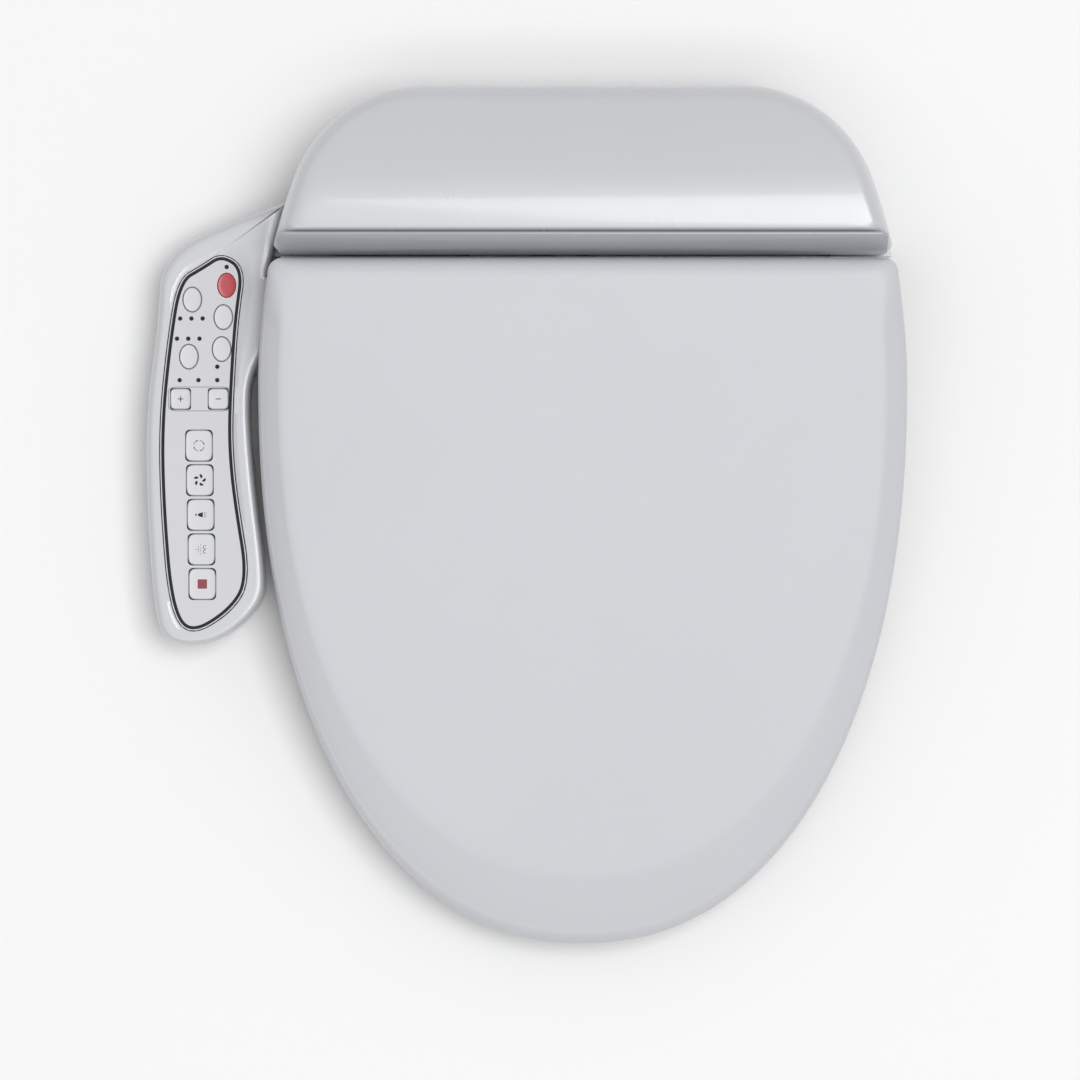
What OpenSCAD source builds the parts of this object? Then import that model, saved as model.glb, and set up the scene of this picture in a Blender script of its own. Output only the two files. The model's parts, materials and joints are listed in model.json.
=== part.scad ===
/* [Overall] */
// Width of the lid at its widest
lid_w = 386; // [360:1:430]
// Reach of the lid's front tip, from the bowl bolts
front_reach = 460; // [430:1:510]
// Reach of the straight back edge, from the bowl bolts
back_reach = 50; // [46:1:58]
// Height of the rear cover's ridge above the bowl
cover_h = 120; // [112:1:140]

/* [Plan outline] */
// Reach of the widest line, from the bowl bolts
wide_reach = 127.5; // [118:0.5:140]
// Run from the widest line in to the end of the straight back edge
corner_run = 99; // [92:1:110]
// Radius of the two back corners
corner_r = 82; // [74:1:88]
// Exponent of the front's superellipse
front_n = 2.2; // [2:0.05:2.6]

/* [Lid] */
// Reach of the lid's rear edge, from the bowl bolts
lid_rear_reach = 52; // [50:0.5:54]
// Height of the lid's lower edge at the front tip
lid_tip_z = 34; // [28:1:40]
// Height of the lid's lower edge at the start of its sides
lid_side_z = 60; // [56:1:66]
// Fall of the lid's flat top, per millimetre forward
lid_fall = 0.108; // [0.08:0.002:0.12]
// Width of the sloping band at the widest line
band_side = 13.5; // [10:0.5:18]
// Width of the sloping band at the front tip
band_tip = 41; // [30:1:50]
// Wall of the lid
lid_t = 3; // [2.5:0.1:4]
// Thickness of the liner that stiffens the lid
liner_t = 2; // [1.5:0.1:3]

/* [Seat ring] */
// Reach of the ring's rear edge, from the bowl bolts
ring_rear_reach = 92; // [90:0.5:96]
// Height of the ring's top at its rear edge
ring_top_z = 62; // [58:1:66]
// Fall of the ring, per millimetre forward
ring_fall = 0.055; // [0.04:0.001:0.06]
// Thickness of the ring
ring_t = 24; // [20:1:28]
// Width of the ring at its sides
ring_side_w = 74; // [64:1:84]
// Width of the ring at its front
ring_front_w = 56; // [46:1:66]
// Width of the ring's rear bridge
ring_rear_w = 36; // [30:1:44]
// Wall of the ring's shells
ring_wall = 3; // [2.5:0.1:4]

/* [Hinge] */
// Reach of the hinge axis, from the bowl bolts
hinge_reach = 66; // [64:0.5:68]
// Height of the hinge axis
hinge_z = 86; // [82:1:90]
// Radius of the hinge pins
pin_r = 4; // [3:0.1:5]
// Radius of every hinge eye
eye_r = 10.5; // [9.5:0.1:10.8]
// Radius of the lid's rolled rear lip
lip_r = 14; // [13.5:0.1:14]
// Radius of the soft-close dampers
damper_r = 7; // [6:0.1:8]
// Inset of the lid eyes from the widest line
lid_eye_inset = 26; // [25:1:30]
// Width of each lid eye
lid_eye_w = 25; // [21:1:27]
// Width of each fixed eye
post_w = 20; // [16:1:24]
// Width of each seat eye
seat_eye_w = 23; // [18:1:26]
// Gap between neighbouring eyes
eye_gap = 2; // [1:0.5:3]

/* [Housing] */
// Wall of the housing's shells
wall = 2.5; // [2:0.1:3.5]
// Height of the rubber feet, and of the tray's underside
foot_h = 3; // [2:0.5:4]
// Height of the line where cover and tray meet
seam_z = 34; // [32:1:36]
// Fall of the cover's top toward the back, per millimetre
cover_fall = 0.2; // [0.15:0.01:0.24]
// Width of the rounded rim round the cover's top
cover_rim = 9; // [6:0.5:12]
// Height where the sloping grey strip starts
trim_z = 84; // [80:1:86]
// Run of the grey strip, front to back
trim_run = 12.5; // [11:0.5:14]
// Thickness of the grey strip
trim_t = 2; // [1.5:0.1:2.5]
// Half width of the low front body
nose_half_w = 150; // [148:1:154]
// Reach of the low front body, from the bowl bolts
nose_reach = 118; // [116:1:120]
// Half width of the nozzle dome
dome_half_w = 90; // [84:1:92]
// Height of the nozzle dome
dome_z = 60; // [58:1:62]

/* [Bowl mount] */
// Spacing of the bowl's two bolts
bolt_spacing = 140; // [130:1:155]
// Width of the bolt slots
slot_w = 10; // [8:0.5:12]
// Length of the bolt slots
slot_len = 40; // [30:1:46]
// Width of the mounting plate
plate_w = 204; // [196:1:208]
// Depth of the mounting plate, front to back
plate_d = 72; // [64:1:76]
// Thickness of the mounting plate
plate_t = 8; // [6:0.5:9]

/* [Nozzles] */
// Slope of the nozzles below level
nozzle_tilt = 17; // [15:0.5:18]
// Spacing of the two nozzles
nozzle_gap = 24; // [22:1:30]
// Radius of the nozzle rods
nozzle_r = 6.5; // [5:0.1:6.6]
// Length of the nozzle rods
nozzle_len = 126; // [118:1:130]
// Bore of the nozzle cylinders
barrel_r = 7.2; // [6.9:0.1:7.4]
// Height of the nozzle axis where it leaves the nose
nozzle_exit_z = 15; // [14.5:0.5:15.5]

/* [Water and air] */
// Radius of the water inlet's G1/2 thread
inlet_r = 10.48; // [8:0.01:11]
// Length of the water inlet's thread
inlet_len = 14; // [12:1:15]
// Bore of the power cord's gland
gland_r = 3.6; // [3:0.1:4.5]
// Radius of the blower's impeller
fan_r = 26; // [20:1:28]
// Width of the air duct
duct_w = 36; // [28:1:40]
// Height of the air duct
duct_h = 17; // [14:1:18]

/* [Control arm] */
// Height of the arm's underside
arm_base_z = 4; // [2:1:8]
// Height of the arm's flat top
arm_top_z = 50; // [46:1:54]
// Height of the seam between the arm's two cases
arm_seam_z = 26; // [20:1:32]
// Wall of the arm's cases
arm_wall = 2.5; // [2:0.1:3]
// Travel of every key
key_travel = 0.8; // [0.5:0.1:1]
// Width of the square keys
key_w = 16; // [14:0.5:17]
// Depth of the square keys
key_d = 18.5; // [16:0.5:19]
// Gap round every key
key_gap = 0.25; // [0.2:0.05:0.4]

/* [Hidden] */
$fn = 48;
eps = 0.01;
// The housing's straight front edge bows out by this, so that no three corners lie in line
bow = 0.1;
// Gap between the steep strip and the cover behind it
trim_gap = 0.8;

half_w = lid_w / 2;
corner_cy = back_reach - corner_r;
side_q = corner_cy + wide_reach;
side_r = (pow(corner_r, 2) - pow(corner_run, 2) - pow(side_q, 2)) / (2 * (corner_r - corner_run));
side_cx = half_w - side_r;
corner_cx = half_w - corner_run;
join_a = atan2(side_q, side_r - corner_run);
hinge_y = -hinge_reach;
ring_rear_y = -ring_rear_reach;
nose_y = -nose_reach;
front_len = front_reach - wide_reach;
lid_gap = 3;
ring_half_w = half_w - lid_t - lid_gap;
ring_len = front_len - lid_t - 3 * lid_gap;
trough_y = -lid_rear_reach + 1.5;
ridge_y = trough_y + trim_run;

// Half width of the plan at y, behind the widest line, moved in by d
function side_x(y, d = 0) = side_cx + sqrt(pow(side_r - d, 2) - pow(y + wide_reach, 2));
function back_x(y) = y > corner_cy + corner_r * sin(join_a)
    ? corner_cx + sqrt(max(0, pow(corner_r, 2) - pow(y - corner_cy, 2))) : side_x(y);
function arc_pts(cx, cy, r, a0, a1, n) =
    [for (i = [0:n]) let (a = a0 + (a1 - a0) * i / n) [cx + r * cos(a), cy + r * sin(a)]];
function mirrored(pts) = [for (i = [len(pts) - 1:-1:0]) [-pts[i][0], pts[i][1]]];
function both_sides(right) = concat(right, mirrored(right));

// Outline of the housing from its front edge at y0 round the back, moved in by d
function housing_pts(y0, d = 0) = both_sides(concat(
    [[nose_half_w, y0 - bow]],
    arc_pts(side_cx, -wide_reach, side_r - d, asin((y0 + wide_reach) / (side_r - d)), join_a, 6),
    [for (i = [1:8]) let (a = join_a + (90 - join_a) * i / 8)
        [corner_cx + (corner_r - d) * cos(a), corner_cy + (corner_r - d) * sin(a)]]));

// Outline of a seat-shaped plate: front tip round to the straight rear edge at y1, moved in by d
// at the sides and by e at the front tip, with rear corners of radius c
function seat_pts(y1, d, e, c) = let (
        a = half_w - d,
        b = front_len - e,
        yc = y1 - c,
        xc = side_x(yc, d) - c)
    both_sides(concat(
        [for (i = [0:13]) let (t = 90 * i / 14, k = 2 / front_n)
            [a * pow(sin(t), k), -wide_reach - b * pow(cos(t), k)]],
        [for (i = [0:4]) let (y = -wide_reach + (yc + wide_reach) * i / 5) [side_x(y, d), y]],
        arc_pts(xc, yc, c, 0, 90, 5),
        [[xc / 2, y1]]));

// Corner cutting, twice, turns a few corner points into a smooth closed outline
function cut_once(p) = [for (i = [0:len(p) - 1], k = [0.25, 0.75])
    p[i] * (1 - k) + p[(i + 1) % len(p)] * k];
function smooth(p) = cut_once(cut_once(p));
function inset(p, d) = [for (i = [0:len(p) - 1]) let (
        n = len(p),
        t = p[(i + 1) % n] - p[(i + n - 1) % n],
        u = t / norm(t))
    p[i] + [-u[1], u[0]] * d];

// Joins rings of equal length into one closed solid: capped at both ends, or joined last to first
module loft(rings, looped = false) {
    n = len(rings[0]);
    m = len(rings);
    last = looped ? m - 1 : m - 2;
    sides = [for (i = [0:last], j = [0:n - 1], k = [0, 1]) let (
            a = i * n + j,
            b = i * n + (j + 1) % n,
            c = (i + 1) % m * n + j,
            d = (i + 1) % m * n + (j + 1) % n)
        k == 0 ? [a, c, d] : [a, d, b]];
    caps = looped ? [] : [[for (j = [0:n - 1]) j], [for (j = [n - 1:-1:0]) (m - 1) * n + j]];
    polyhedron([for (r = rings) each r], concat(sides, caps));
}

// A prism along Z, or along X, from a list of points
module prism(pts, z0, z1) translate([0, 0, z0]) linear_extrude(z1 - z0) polygon(pts);
module across(pts, x0, x1)
    translate([x0, 0, 0]) rotate([90, 0, 90]) linear_extrude(x1 - x0) polygon(pts);
module box(lo, hi) translate(lo) cube(hi - lo);
module drum(x, y, r, z0, z1) translate([x, y, z0]) cylinder(r = r, h = z1 - z0);
module axle(r, x0, x1) translate([x0, hinge_y, hinge_z]) rotate([0, 90, 0]) cylinder(r = r, h = x1 - x0);
module two_sides() {
    children();
    mirror([1, 0, 0]) children();
}

// Hinge stations, from the outside in
lid_eye_x1 = half_w - lid_eye_inset;
lid_eye_x0 = lid_eye_x1 - lid_eye_w;
post_x1 = lid_eye_x0 - eye_gap;
post_x0 = post_x1 - post_w;
seat_eye_x1 = post_x0 - eye_gap;
seat_eye_x0 = seat_eye_x1 - seat_eye_w;
pin_gap = 0.05;

// ---- Housing ----
plate_gap = 1.5;
channel_z = plate_t + plate_gap;
channel_w = plate_w / 2 + 2;
pocket_r = inlet_r + 8;
inlet_x = back_x(-5) - 22;
port_y = -5;

module nose_pts_prism(d, z0, z1) {
    r = 20 - d;
    x = nose_half_w - d;
    prism(both_sides(concat([[50, nose_y + d]], arc_pts(x - r, nose_y + d + r, r, -90, 0, 5),
        [[x, -46]])), z0, z1);
}

module base_tray() color("#d4d5d8") difference() {
    union() {
        difference() {
            union() {
                prism(housing_pts(-50, 0), foot_h, seam_z);
                nose_pts_prism(0, foot_h, foot_h + 3);
            }
            prism(housing_pts(-50 + wall, wall), foot_h + wall, seam_z + 1);
            box([-nose_half_w + wall, -60, foot_h + 3], [nose_half_w - wall, -44, seam_z + 1]);
        }
        box([-channel_w - wall, -plate_d / 2 - 4, foot_h],
            [channel_w + wall, back_reach - wall, channel_z + wall]);
        drum(inlet_x, port_y, pocket_r + 1.6, foot_h, 22);
        drum(-inlet_x, port_y, gland_r + 5, foot_h, 13);
    }
    box([-channel_w, -plate_d / 2 - 1.5, -1], [channel_w, back_reach + 1, channel_z]);
    drum(inlet_x, port_y, pocket_r, -1, 20);
    drum(inlet_x, port_y, 9.4, 0, 30);
    drum(-inlet_x, port_y, gland_r + 3.4, -1, 30);
    box([back_x(-28) - 14, -36.2, 9.8], [half_w + 5, -19.8, 22.2]);
}

// Height of the cover's sloping top at y
function cover_top(y) = cover_h - cover_fall * (y - ridge_y);
function cover_ring(f, d, drop) = let (
        fx = 1 - cos(90 * f),
        fz = sin(90 * f),
        y0 = trough_y + trim_t + trim_gap + d + trim_run * fz)
    [for (p = housing_pts(y0, d + cover_rim * fx)) [p[0], p[1],
        trim_z + (cover_top(p[1]) - drop - trim_z) * fz]];
// The cover's lower edge steps up behind the nozzle dome and its screen
function cover_base(d) = [for (p = housing_pts(trough_y + trim_t + trim_gap + d, d))
    [p[0], p[1], abs(p[0]) < nose_half_w + 0.5 && p[1] < trough_y + 10 ? dome_z - 2 : seam_z]];

module rear_cover() color("#c9cacd") loft(concat(
    [for (i = [4:-1:0]) cover_ring(i / 4, wall, wall)],
    [cover_base(wall), cover_base(0)],
    [for (i = [0:4]) cover_ring(i / 4, 0, 0)]));

// The steep grey strip that falls from the ridge to the lid's rear edge
module hinge_trim() color("#8b8e95") intersection() {
    across([[trough_y, trim_z], [ridge_y, cover_h - 2], [ridge_y + trim_t, cover_h - 2],
        [trough_y + trim_t, trim_z]], -half_w, half_w);
    prism(housing_pts(trough_y - 1, 3), trim_z - 1, cover_h);
}

dome_step = 4;
dome_pts = [[nose_y + 20, seam_z], [ring_rear_y - 8, seam_z], [ring_rear_y + 4, seam_z + dome_step],
    [-62, dome_z], [trough_y, dome_z],
    [trough_y, foot_h + 3.2], [nose_y + 20, foot_h + 3.2]];

// Places its children with +Z along a nozzle's axis, the origin in the nose's front face
module on_nozzle(s)
    translate([s * nozzle_gap / 2, nose_y, nozzle_exit_z]) rotate([90 + nozzle_tilt, 0, 0]) children();

duct_x = -nozzle_gap / 2 - 20 - duct_w / 2;
duct_z = 13;

module nozzle_hood() color("#d6d7da") difference() {
    union() {
        nose_pts_prism(0, foot_h + 3.2, seam_z);
        across(dome_pts, -dome_half_w, dome_half_w);
        box([-side_x(trough_y) + 5, trough_y - 2, seam_z - 0.5], [side_x(trough_y) - 5, trough_y, dome_z]);
    }
    nose_pts_prism(wall, 0, seam_z - wall);
    across([[nose_y + 10, 0], [nose_y + 10, seam_z - wall], [ring_rear_y - 7, seam_z - wall],
        [ring_rear_y + 5, seam_z + dome_step - wall],
        [-61, dome_z - wall], [-40, dome_z - wall], [-40, 0]], -dome_half_w + wall, dome_half_w - wall);
    box([-half_w, trough_y, 0], [half_w, 0, seam_z + 40]);
    for (s = [-1, 1]) on_nozzle(s) translate([0, 0, -30]) cylinder(r = nozzle_r + 0.5, h = 60);
    box([duct_x - duct_w / 2 - 0.5, nose_y - 1, duct_z - 1.5],
        [duct_x + duct_w / 2 + 0.5, nose_y + wall + 1, duct_z + duct_h + 0.5]);
    for (s = [-1, 1], y = [-62, -78]) drum(s * (post_x0 + post_x1) / 2, y, 2.1, 20, 50);
}

module bracket() difference() {
    union() {
        across([[-84, seam_z], [-56, seam_z], [-56, 56], [-71.5, 68], [-71.5, hinge_z - 4],
            [-78, hinge_z - 4], [-78, 68], [-84, 56]], post_x0, post_x1);
        axle(eye_r, post_x0, post_x1);
    }
    axle(pin_r, post_x0 - 1, post_x1 + 1);
    for (y = [-62, -78]) drum((post_x0 + post_x1) / 2, y, 1.6, seam_z - 1, seam_z + 8);
}
module hinge_brackets() color("#b9bbbf") two_sides() bracket();
module hinge_pins() color("#9a9ca0") two_sides() axle(pin_r, seat_eye_x0 - 1, lid_eye_x1 + 1);
module bracket_screws() color("#8f9194") for (s = [-1, 1], y = [-62, -78]) {
    drum(s * (post_x0 + post_x1) / 2, y, 3.6, seam_z - wall - 2.4, seam_z - wall);
    drum(s * (post_x0 + post_x1) / 2, y, 1.6, seam_z - wall, seam_z + 8);
}
module base_feet() color("#5c5e62") for (s = [-1, 1]) {
    drum(s * 118, 25, 8, 0, foot_h);
    drum(s * 146, -40, 8, 0, foot_h);
}

// ---- Inside the housing ----
tank_x0 = 38;
tank_x1 = back_x(30) - 22;
inner_z = channel_z + wall + 0.5;
tank_z1 = 88;

module water_tank() color("#d8d2c4") difference() {
    box([tank_x0, -40, inner_z], [tank_x1, 30, tank_z1]);
    box([tank_x0 + 2, -38, inner_z + 2], [tank_x1 - 2, 28, tank_z1 - 4]);
    drum((tank_x0 + tank_x1) / 2, -5, 10, tank_z1 - 5, tank_z1 + 1);
}
module tank_heater() color("#a8693c") {
    x = (tank_x0 + tank_x1) / 2;
    drum(x, -5, 9.9, tank_z1 - 4, tank_z1 + 3);
    for (s = [-1, 1]) drum(x + 5 * s, -5, 3, inner_z + 12, tank_z1 - 4);
    box([x - 8, -8, inner_z + 8], [x + 8, -2, inner_z + 12]);
}
module inlet_fitting() color("#e6e6e2") {
    drum(inlet_x, port_y, inlet_r, 5, 5 + inlet_len);
    drum(inlet_x, port_y, 9.3, 5 + inlet_len, 26);
    drum(inlet_x, port_y, 13, 26, 30);
}
module solenoid_valve() color("#4c5a7c") {
    drum(inlet_x, port_y, 10, 30, 44);
    box([inlet_x - 11, port_y - 11, 44], [inlet_x + 11, port_y + 11, 66]);
}
module diverter_valve() color("#dcdcd6") {
    drum(0, 30, 13, inner_z, 34);
    drum(0, 30, 9, 34, 42);
    drum(-22, 30, 3, inner_z, 30);
    box([-24, 28.5, 18], [0, 31.5, 24]);
}
module water_hoses() color("#c8ccd0") {
    translate([tank_x1 + 0.1, port_y, 38]) rotate([0, 90, 0])
        cylinder(r = 3, h = inlet_x - 10 - tank_x1 - 0.2);
    translate([13.1, 28, 20]) rotate([0, 90, 0]) cylinder(r = 3, h = tank_x0 - 13.2);
}
module nozzle_cylinders() color("#e2e2de") for (s = [-1, 1]) on_nozzle(s) difference() {
    translate([0, 0, -146]) cylinder(r = 8.6, h = 123);
    translate([0, 0, -144]) cylinder(r = barrel_r, h = 140);
}
fan_x = duct_x - 27;
fan_y = 4;
fan_z = inner_z + 1;
scroll_r = fan_r + 6;
module air_duct() color("#c3c6c8") difference() {
    box([duct_x - duct_w / 2, nose_y + 4.5, duct_z], [duct_x + duct_w / 2, fan_y - 22, duct_z + duct_h]);
    box([duct_x - duct_w / 2 + 1.6, nose_y - 5, duct_z + 1.6],
        [duct_x + duct_w / 2 - 1.6, 0, duct_z + duct_h - 1.6]);
    drum(fan_x, fan_y, scroll_r + 0.3, 0, 60);
}
module blower_housing() color("#45484c") difference() {
    drum(fan_x, fan_y, scroll_r, fan_z, fan_z + 24);
    drum(fan_x, fan_y, scroll_r - 2, fan_z + 2, fan_z + 22);
    drum(fan_x, fan_y, 14, fan_z + 20, fan_z + 30);
    box([duct_x - duct_w / 2 + 2, -50, fan_z + 2], [duct_x + duct_w / 2 - 8, fan_y - 10, fan_z + 14]);
}
module blower_motor() color("#777a7d") {
    drum(fan_x, fan_y, 12, fan_z + 22, fan_z + 44);
    drum(fan_x, fan_y, 2, fan_z + 4, fan_z + 22);
}
module blower_impeller() color("#3a3c40") {
    difference() {
        union() {
            drum(fan_x, fan_y, 5, fan_z + 4, fan_z + 18);
            drum(fan_x, fan_y, fan_r, fan_z + 4, fan_z + 6);
        }
        drum(fan_x, fan_y, 2 + pin_gap, fan_z, fan_z + 30);
    }
    for (a = [0:20:340]) translate([fan_x, fan_y, fan_z + 6]) rotate(a)
        translate([fan_r - 9, -0.8, -eps]) cube([8.5, 1.6, 12]);
}
module dryer_heater() color("#b9a06a") for (i = [0:2])
    box([duct_x - duct_w / 2 + 4, -66 - 9 * i, duct_z + 3],
        [duct_x + duct_w / 2 - 4, -64.8 - 9 * i, duct_z + duct_h - 3]);
module main_pcb() color("#2f6b45") {
    box([-back_x(8) + 16, -44, 20], [-back_x(8) + 17.6, 8, 82]);
    for (i = [0:3])
        box([-back_x(8) + 17.6, -40 + 12 * i, 30 + 8 * i], [-back_x(8) + 23, -34 + 12 * i, 40 + 8 * i]);
}
module transformer() color("#6b4a2d") {
    box([-30, 4, inner_z + 56], [30, 38, inner_z + 58]);
    box([-20, 8, inner_z + 58], [20, 34, inner_z + 82]);
}
module cord_gland() color("#46484b") difference() {
    union() {
        drum(-inlet_x, port_y, gland_r + 3.3, foot_h + 0.5, 15);
        drum(-inlet_x, port_y, gland_r + 6, 13.2, 15.5);
    }
    drum(-inlet_x, port_y, gland_r, 0, 20);
}

// ---- Control arm ----
arm_x = -half_w;
arm_gap = 0.8;
ring_side_gap = 1.5;
// The farthest right that the arm may reach at y: beside the housing, and beside the seat ring
function arm_limit(y) = y > hinge_y - 6 ? -back_x(y) - arm_gap
    : y > -wide_reach ? -side_x(y, half_w - ring_half_w) - ring_side_gap
    : -ring_half_w * pow(1 - pow((-wide_reach - y) / ring_len, front_n), 1 / front_n) - ring_side_gap;
arm_free = [for (p = smooth([[28, -14], [-2, -24], [-58, -48], [-60, -90], [-67, -140], [-67, -190],
    [-63, -258], [-56, -282], [-24, -282], [3, -258], [4, -236], [-2, -190], [-6, -142], [-4, -120],
    [8, -100], [26, -60]])) [arm_x + p[0], p[1]]];
// Outline of the arm moved in by d, held clear of the housing and the ring
function arm_outline(d) = [for (p = inset(arm_free, d)) [min(p[0], arm_limit(p[1]) - d), p[1]]];
panel_pts = [for (p = smooth([[-22, -48], [-34, -56], [-48, -64], [-54, -100], [-59, -150], [-58, -200],
    [-53, -260], [-41, -277], [-16, -262], [-5, -243], [-12, -200], [-15, -175], [-16, -150], [-14, -110],
    [-12, -85], [-8, -57]])) [arm_x + p[0], p[1]]];
deck_t = 2.5;
key_flange = 1.085;
film_t = 0.4;
film_z = arm_top_z + film_t;

module arm_lower_case() color("#cfd0d3") difference() {
    prism(arm_outline(0), arm_base_z, arm_seam_z);
    prism(arm_outline(arm_wall), arm_base_z + arm_wall, arm_seam_z + 1);
}
function arm_ring(d, z) = [for (p = arm_outline(d)) [p[0], p[1], z]];
function panel_ring(z) = [for (p = inset(panel_pts, 0.8)) [p[0], p[1], z]];
module arm_upper_case() color("#d9dadd") loft([
    arm_ring(0, arm_seam_z + 0.1), arm_ring(0, arm_top_z - 7), arm_ring(1.2, arm_top_z - 3),
    arm_ring(3, arm_top_z), panel_ring(arm_top_z), panel_ring(arm_top_z - deck_t),
    arm_ring(arm_wall + 1, arm_top_z - deck_t), arm_ring(arm_wall, arm_seam_z + 0.1)], true);
module panel_deck() color("#bfc1c6") difference() {
    prism(inset(panel_pts, 1), arm_top_z - deck_t, arm_top_z);
    key_holes();
}
module control_overlay() color("#dcdde1") difference() {
    prism(inset(panel_pts, 0), arm_top_z, film_z);
    key_holes();
}
module overlay_line() color("#26282c") difference() {
    prism(inset(panel_pts, 0.6), film_z, film_z + 0.15);
    prism(inset(panel_pts, 2.4), film_z - 1, film_z + 1);
}

// Keys: place from the widest line's left end, half width and half depth
function oval_pts(w, d) = [for (a = [0:15:345]) [w * cos(a), d * sin(a)]];
function soft_box_pts(w, d, r) = concat(arc_pts(w - r, d - r, r, 0, 90, 4),
    arc_pts(r - w, d - r, r, 90, 180, 4), arc_pts(r - w, r - d, r, 180, 270, 4),
    arc_pts(w - r, r - d, r, 270, 360, 4));
oval_keys = [["power", -19, -67.5, 5.4, 7.2], ["water", -39.5, -76, 5.6, 7.4],
    ["seat", -21, -86.5, 5.6, 7.4], ["pressure", -22, -105.5, 5.6, 7.4],
    ["position", -41.5, -110, 5.6, 7.4]];
step_keys = [["plus", -46.5, -135.2], ["minus", -24, -135.2]];
main_keys = [for (i = [0:4]) [-35.5 + 0.5 * i, -163 - 20.6 * i]];

module key_cap(pts, x, y) translate([arm_x + x, y, 0]) {
    prism(pts, arm_top_z - deck_t - 1.2, film_z + 0.5);
    prism([for (p = pts) p * key_flange], flange_z, arm_top_z - deck_t - 0.2);
}
module key_hole(pts, x, y) translate([arm_x + x, y, 0])
    prism([for (p = pts) p + p / norm(p) * key_gap * 1.4], arm_top_z - 10, arm_top_z + 10);
module oval_key(i) color(i == 0 ? "#c02232" : "#e3e4e8")
    key_cap(oval_pts(oval_keys[i][3], oval_keys[i][4]), oval_keys[i][1], oval_keys[i][2]);
module step_key(i) color("#e3e4e8")
    key_cap(soft_box_pts(6, 6.2, 1.5), step_keys[i][1], step_keys[i][2]);
module main_key(i) color("#e6e7ea")
    key_cap(soft_box_pts(key_w / 2, key_d / 2, 2.5), main_keys[i][0], main_keys[i][1]);
module key_holes() {
    for (k = oval_keys) key_hole(oval_pts(k[3], k[4]), k[1], k[2]);
    for (k = step_keys) key_hole(soft_box_pts(6, 6.2, 1.5), k[1], k[2]);
    for (k = main_keys) key_hole(soft_box_pts(key_w / 2, key_d / 2, 2.5), k[0], k[1]);
}
led_spots = concat([[-19, -56.6]], [for (i = [0:2]) [-46.7 + 6.7 * i, -87.3]],
    [for (i = [0:2]) [-48.6 + 6.7 * i, -99.3]], [[-24.6, -116]], [for (i = [0:2]) [-47 + 11.2 * i, -124]]);
module led_windows() color("#1c1d20") for (p = led_spots) drum(arm_x + p[0], p[1], 1.3, film_z, film_z + 0.2);
module control_pcb() color("#2f6b45")
    prism(inset(panel_pts, 4), arm_top_z - 12, arm_top_z - 10.4);
module key_switches() color("#3b3d40") {
    for (k = concat(oval_keys, step_keys)) switch(k[1], k[2]);
    for (k = main_keys) switch(k[0], k[1]);
}
flange_z = arm_top_z - deck_t - 3;
switch_z = flange_z - key_travel - 0.1;
module switch(x, y)
    box([arm_x + x - 3, y - 3, arm_top_z - 10.4], [arm_x + x + 3, y + 3, switch_z]);

// ---- Pieces that move on the housing ----
module release_button() color("#cdced1") intersection() {
    box([back_x(-28) - 12, -36, 10], [half_w, -20, 22]);
    prism(housing_pts(-50, 0), 0, 40);
}
module mounting_plate() color("#c6c8c9") difference() {
    box([-plate_w / 2, -plate_d / 2, 0], [plate_w / 2, plate_d / 2, plate_t]);
    for (s = [-1, 1]) {
        translate([s * bolt_spacing / 2, 0, 0]) slot(slot_w / 2, slot_len, -1, plate_t + 1);
        translate([s * bolt_spacing / 2, 0, 0]) slot(slot_w / 2 + 6, slot_len + 12, 3.5, plate_t + 1);
    }
}
module slot(r, len, z0, z1) {
    for (e = [-1, 1]) drum(e * (len / 2 - r), 0, r, z0, z1);
    box([r - len / 2, -r, z0], [len / 2 - r, r, z1]);
}
module slot_washers() color("#94979b") for (s = [-1, 1]) difference() {
    translate([s * bolt_spacing / 2, 0, 0]) slot(slot_w / 2 + 5.7, slot_w + 16, 3.6, plate_t - 0.5);
    drum(s * bolt_spacing / 2, 0, slot_w / 2 + 0.3, 0, 20);
}
tip_len = 15;
module nozzle(s) color("#e9e9e6") on_nozzle(s) {
    translate([0, 0, -2 - nozzle_len]) cylinder(r = nozzle_r, h = nozzle_len - tip_len + 1);
    translate([0, 0, -2 - nozzle_len]) cylinder(r = barrel_r - pin_gap, h = 8);
    translate([0, 0, -2 - tip_len]) cylinder(r = nozzle_r - 2, h = tip_len - 3);
}
module spray_tip(s) color("#f0f0ee") on_nozzle(s) difference() {
    translate([0, 0, -1 - tip_len]) cylinder(r = nozzle_r, h = tip_len);
    translate([0, 0, -2 - tip_len]) cylinder(r = nozzle_r - 2, h = tip_len - 3);
    for (i = [-1:1]) translate([1.6 * i, 0, -8]) rotate([-90, 0, 0]) cylinder(r = 0.5, h = 10);
}
module rear_nozzle() nozzle(-1);
module front_nozzle() nozzle(1);
flap_z = duct_z + duct_h - 1.5;
module dryer_flap() color("#cfd0d3") {
    box([duct_x - duct_w / 2 + 0.4, nose_y + 0.4, duct_z - 1],
        [duct_x + duct_w / 2 - 0.4, nose_y + 2, flap_z]);
    translate([duct_x - duct_w / 2 + 0.4, nose_y + 1.4, flap_z]) rotate([0, 90, 0])
        cylinder(r = 1, h = duct_w - 0.8);
}

// ---- Seat ring ----
function ring_z(y) = ring_top_z - ring_fall * (ring_rear_y - y);
ring_inner_w = ring_half_w - ring_side_w;
hole_y1 = ring_rear_y - ring_rear_w;
hole_y0 = -wide_reach - ring_len + ring_front_w;
function ring_outer(d) = seat_pts(ring_rear_y - d, half_w - ring_half_w + d, front_len - ring_len + d, 14);
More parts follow.
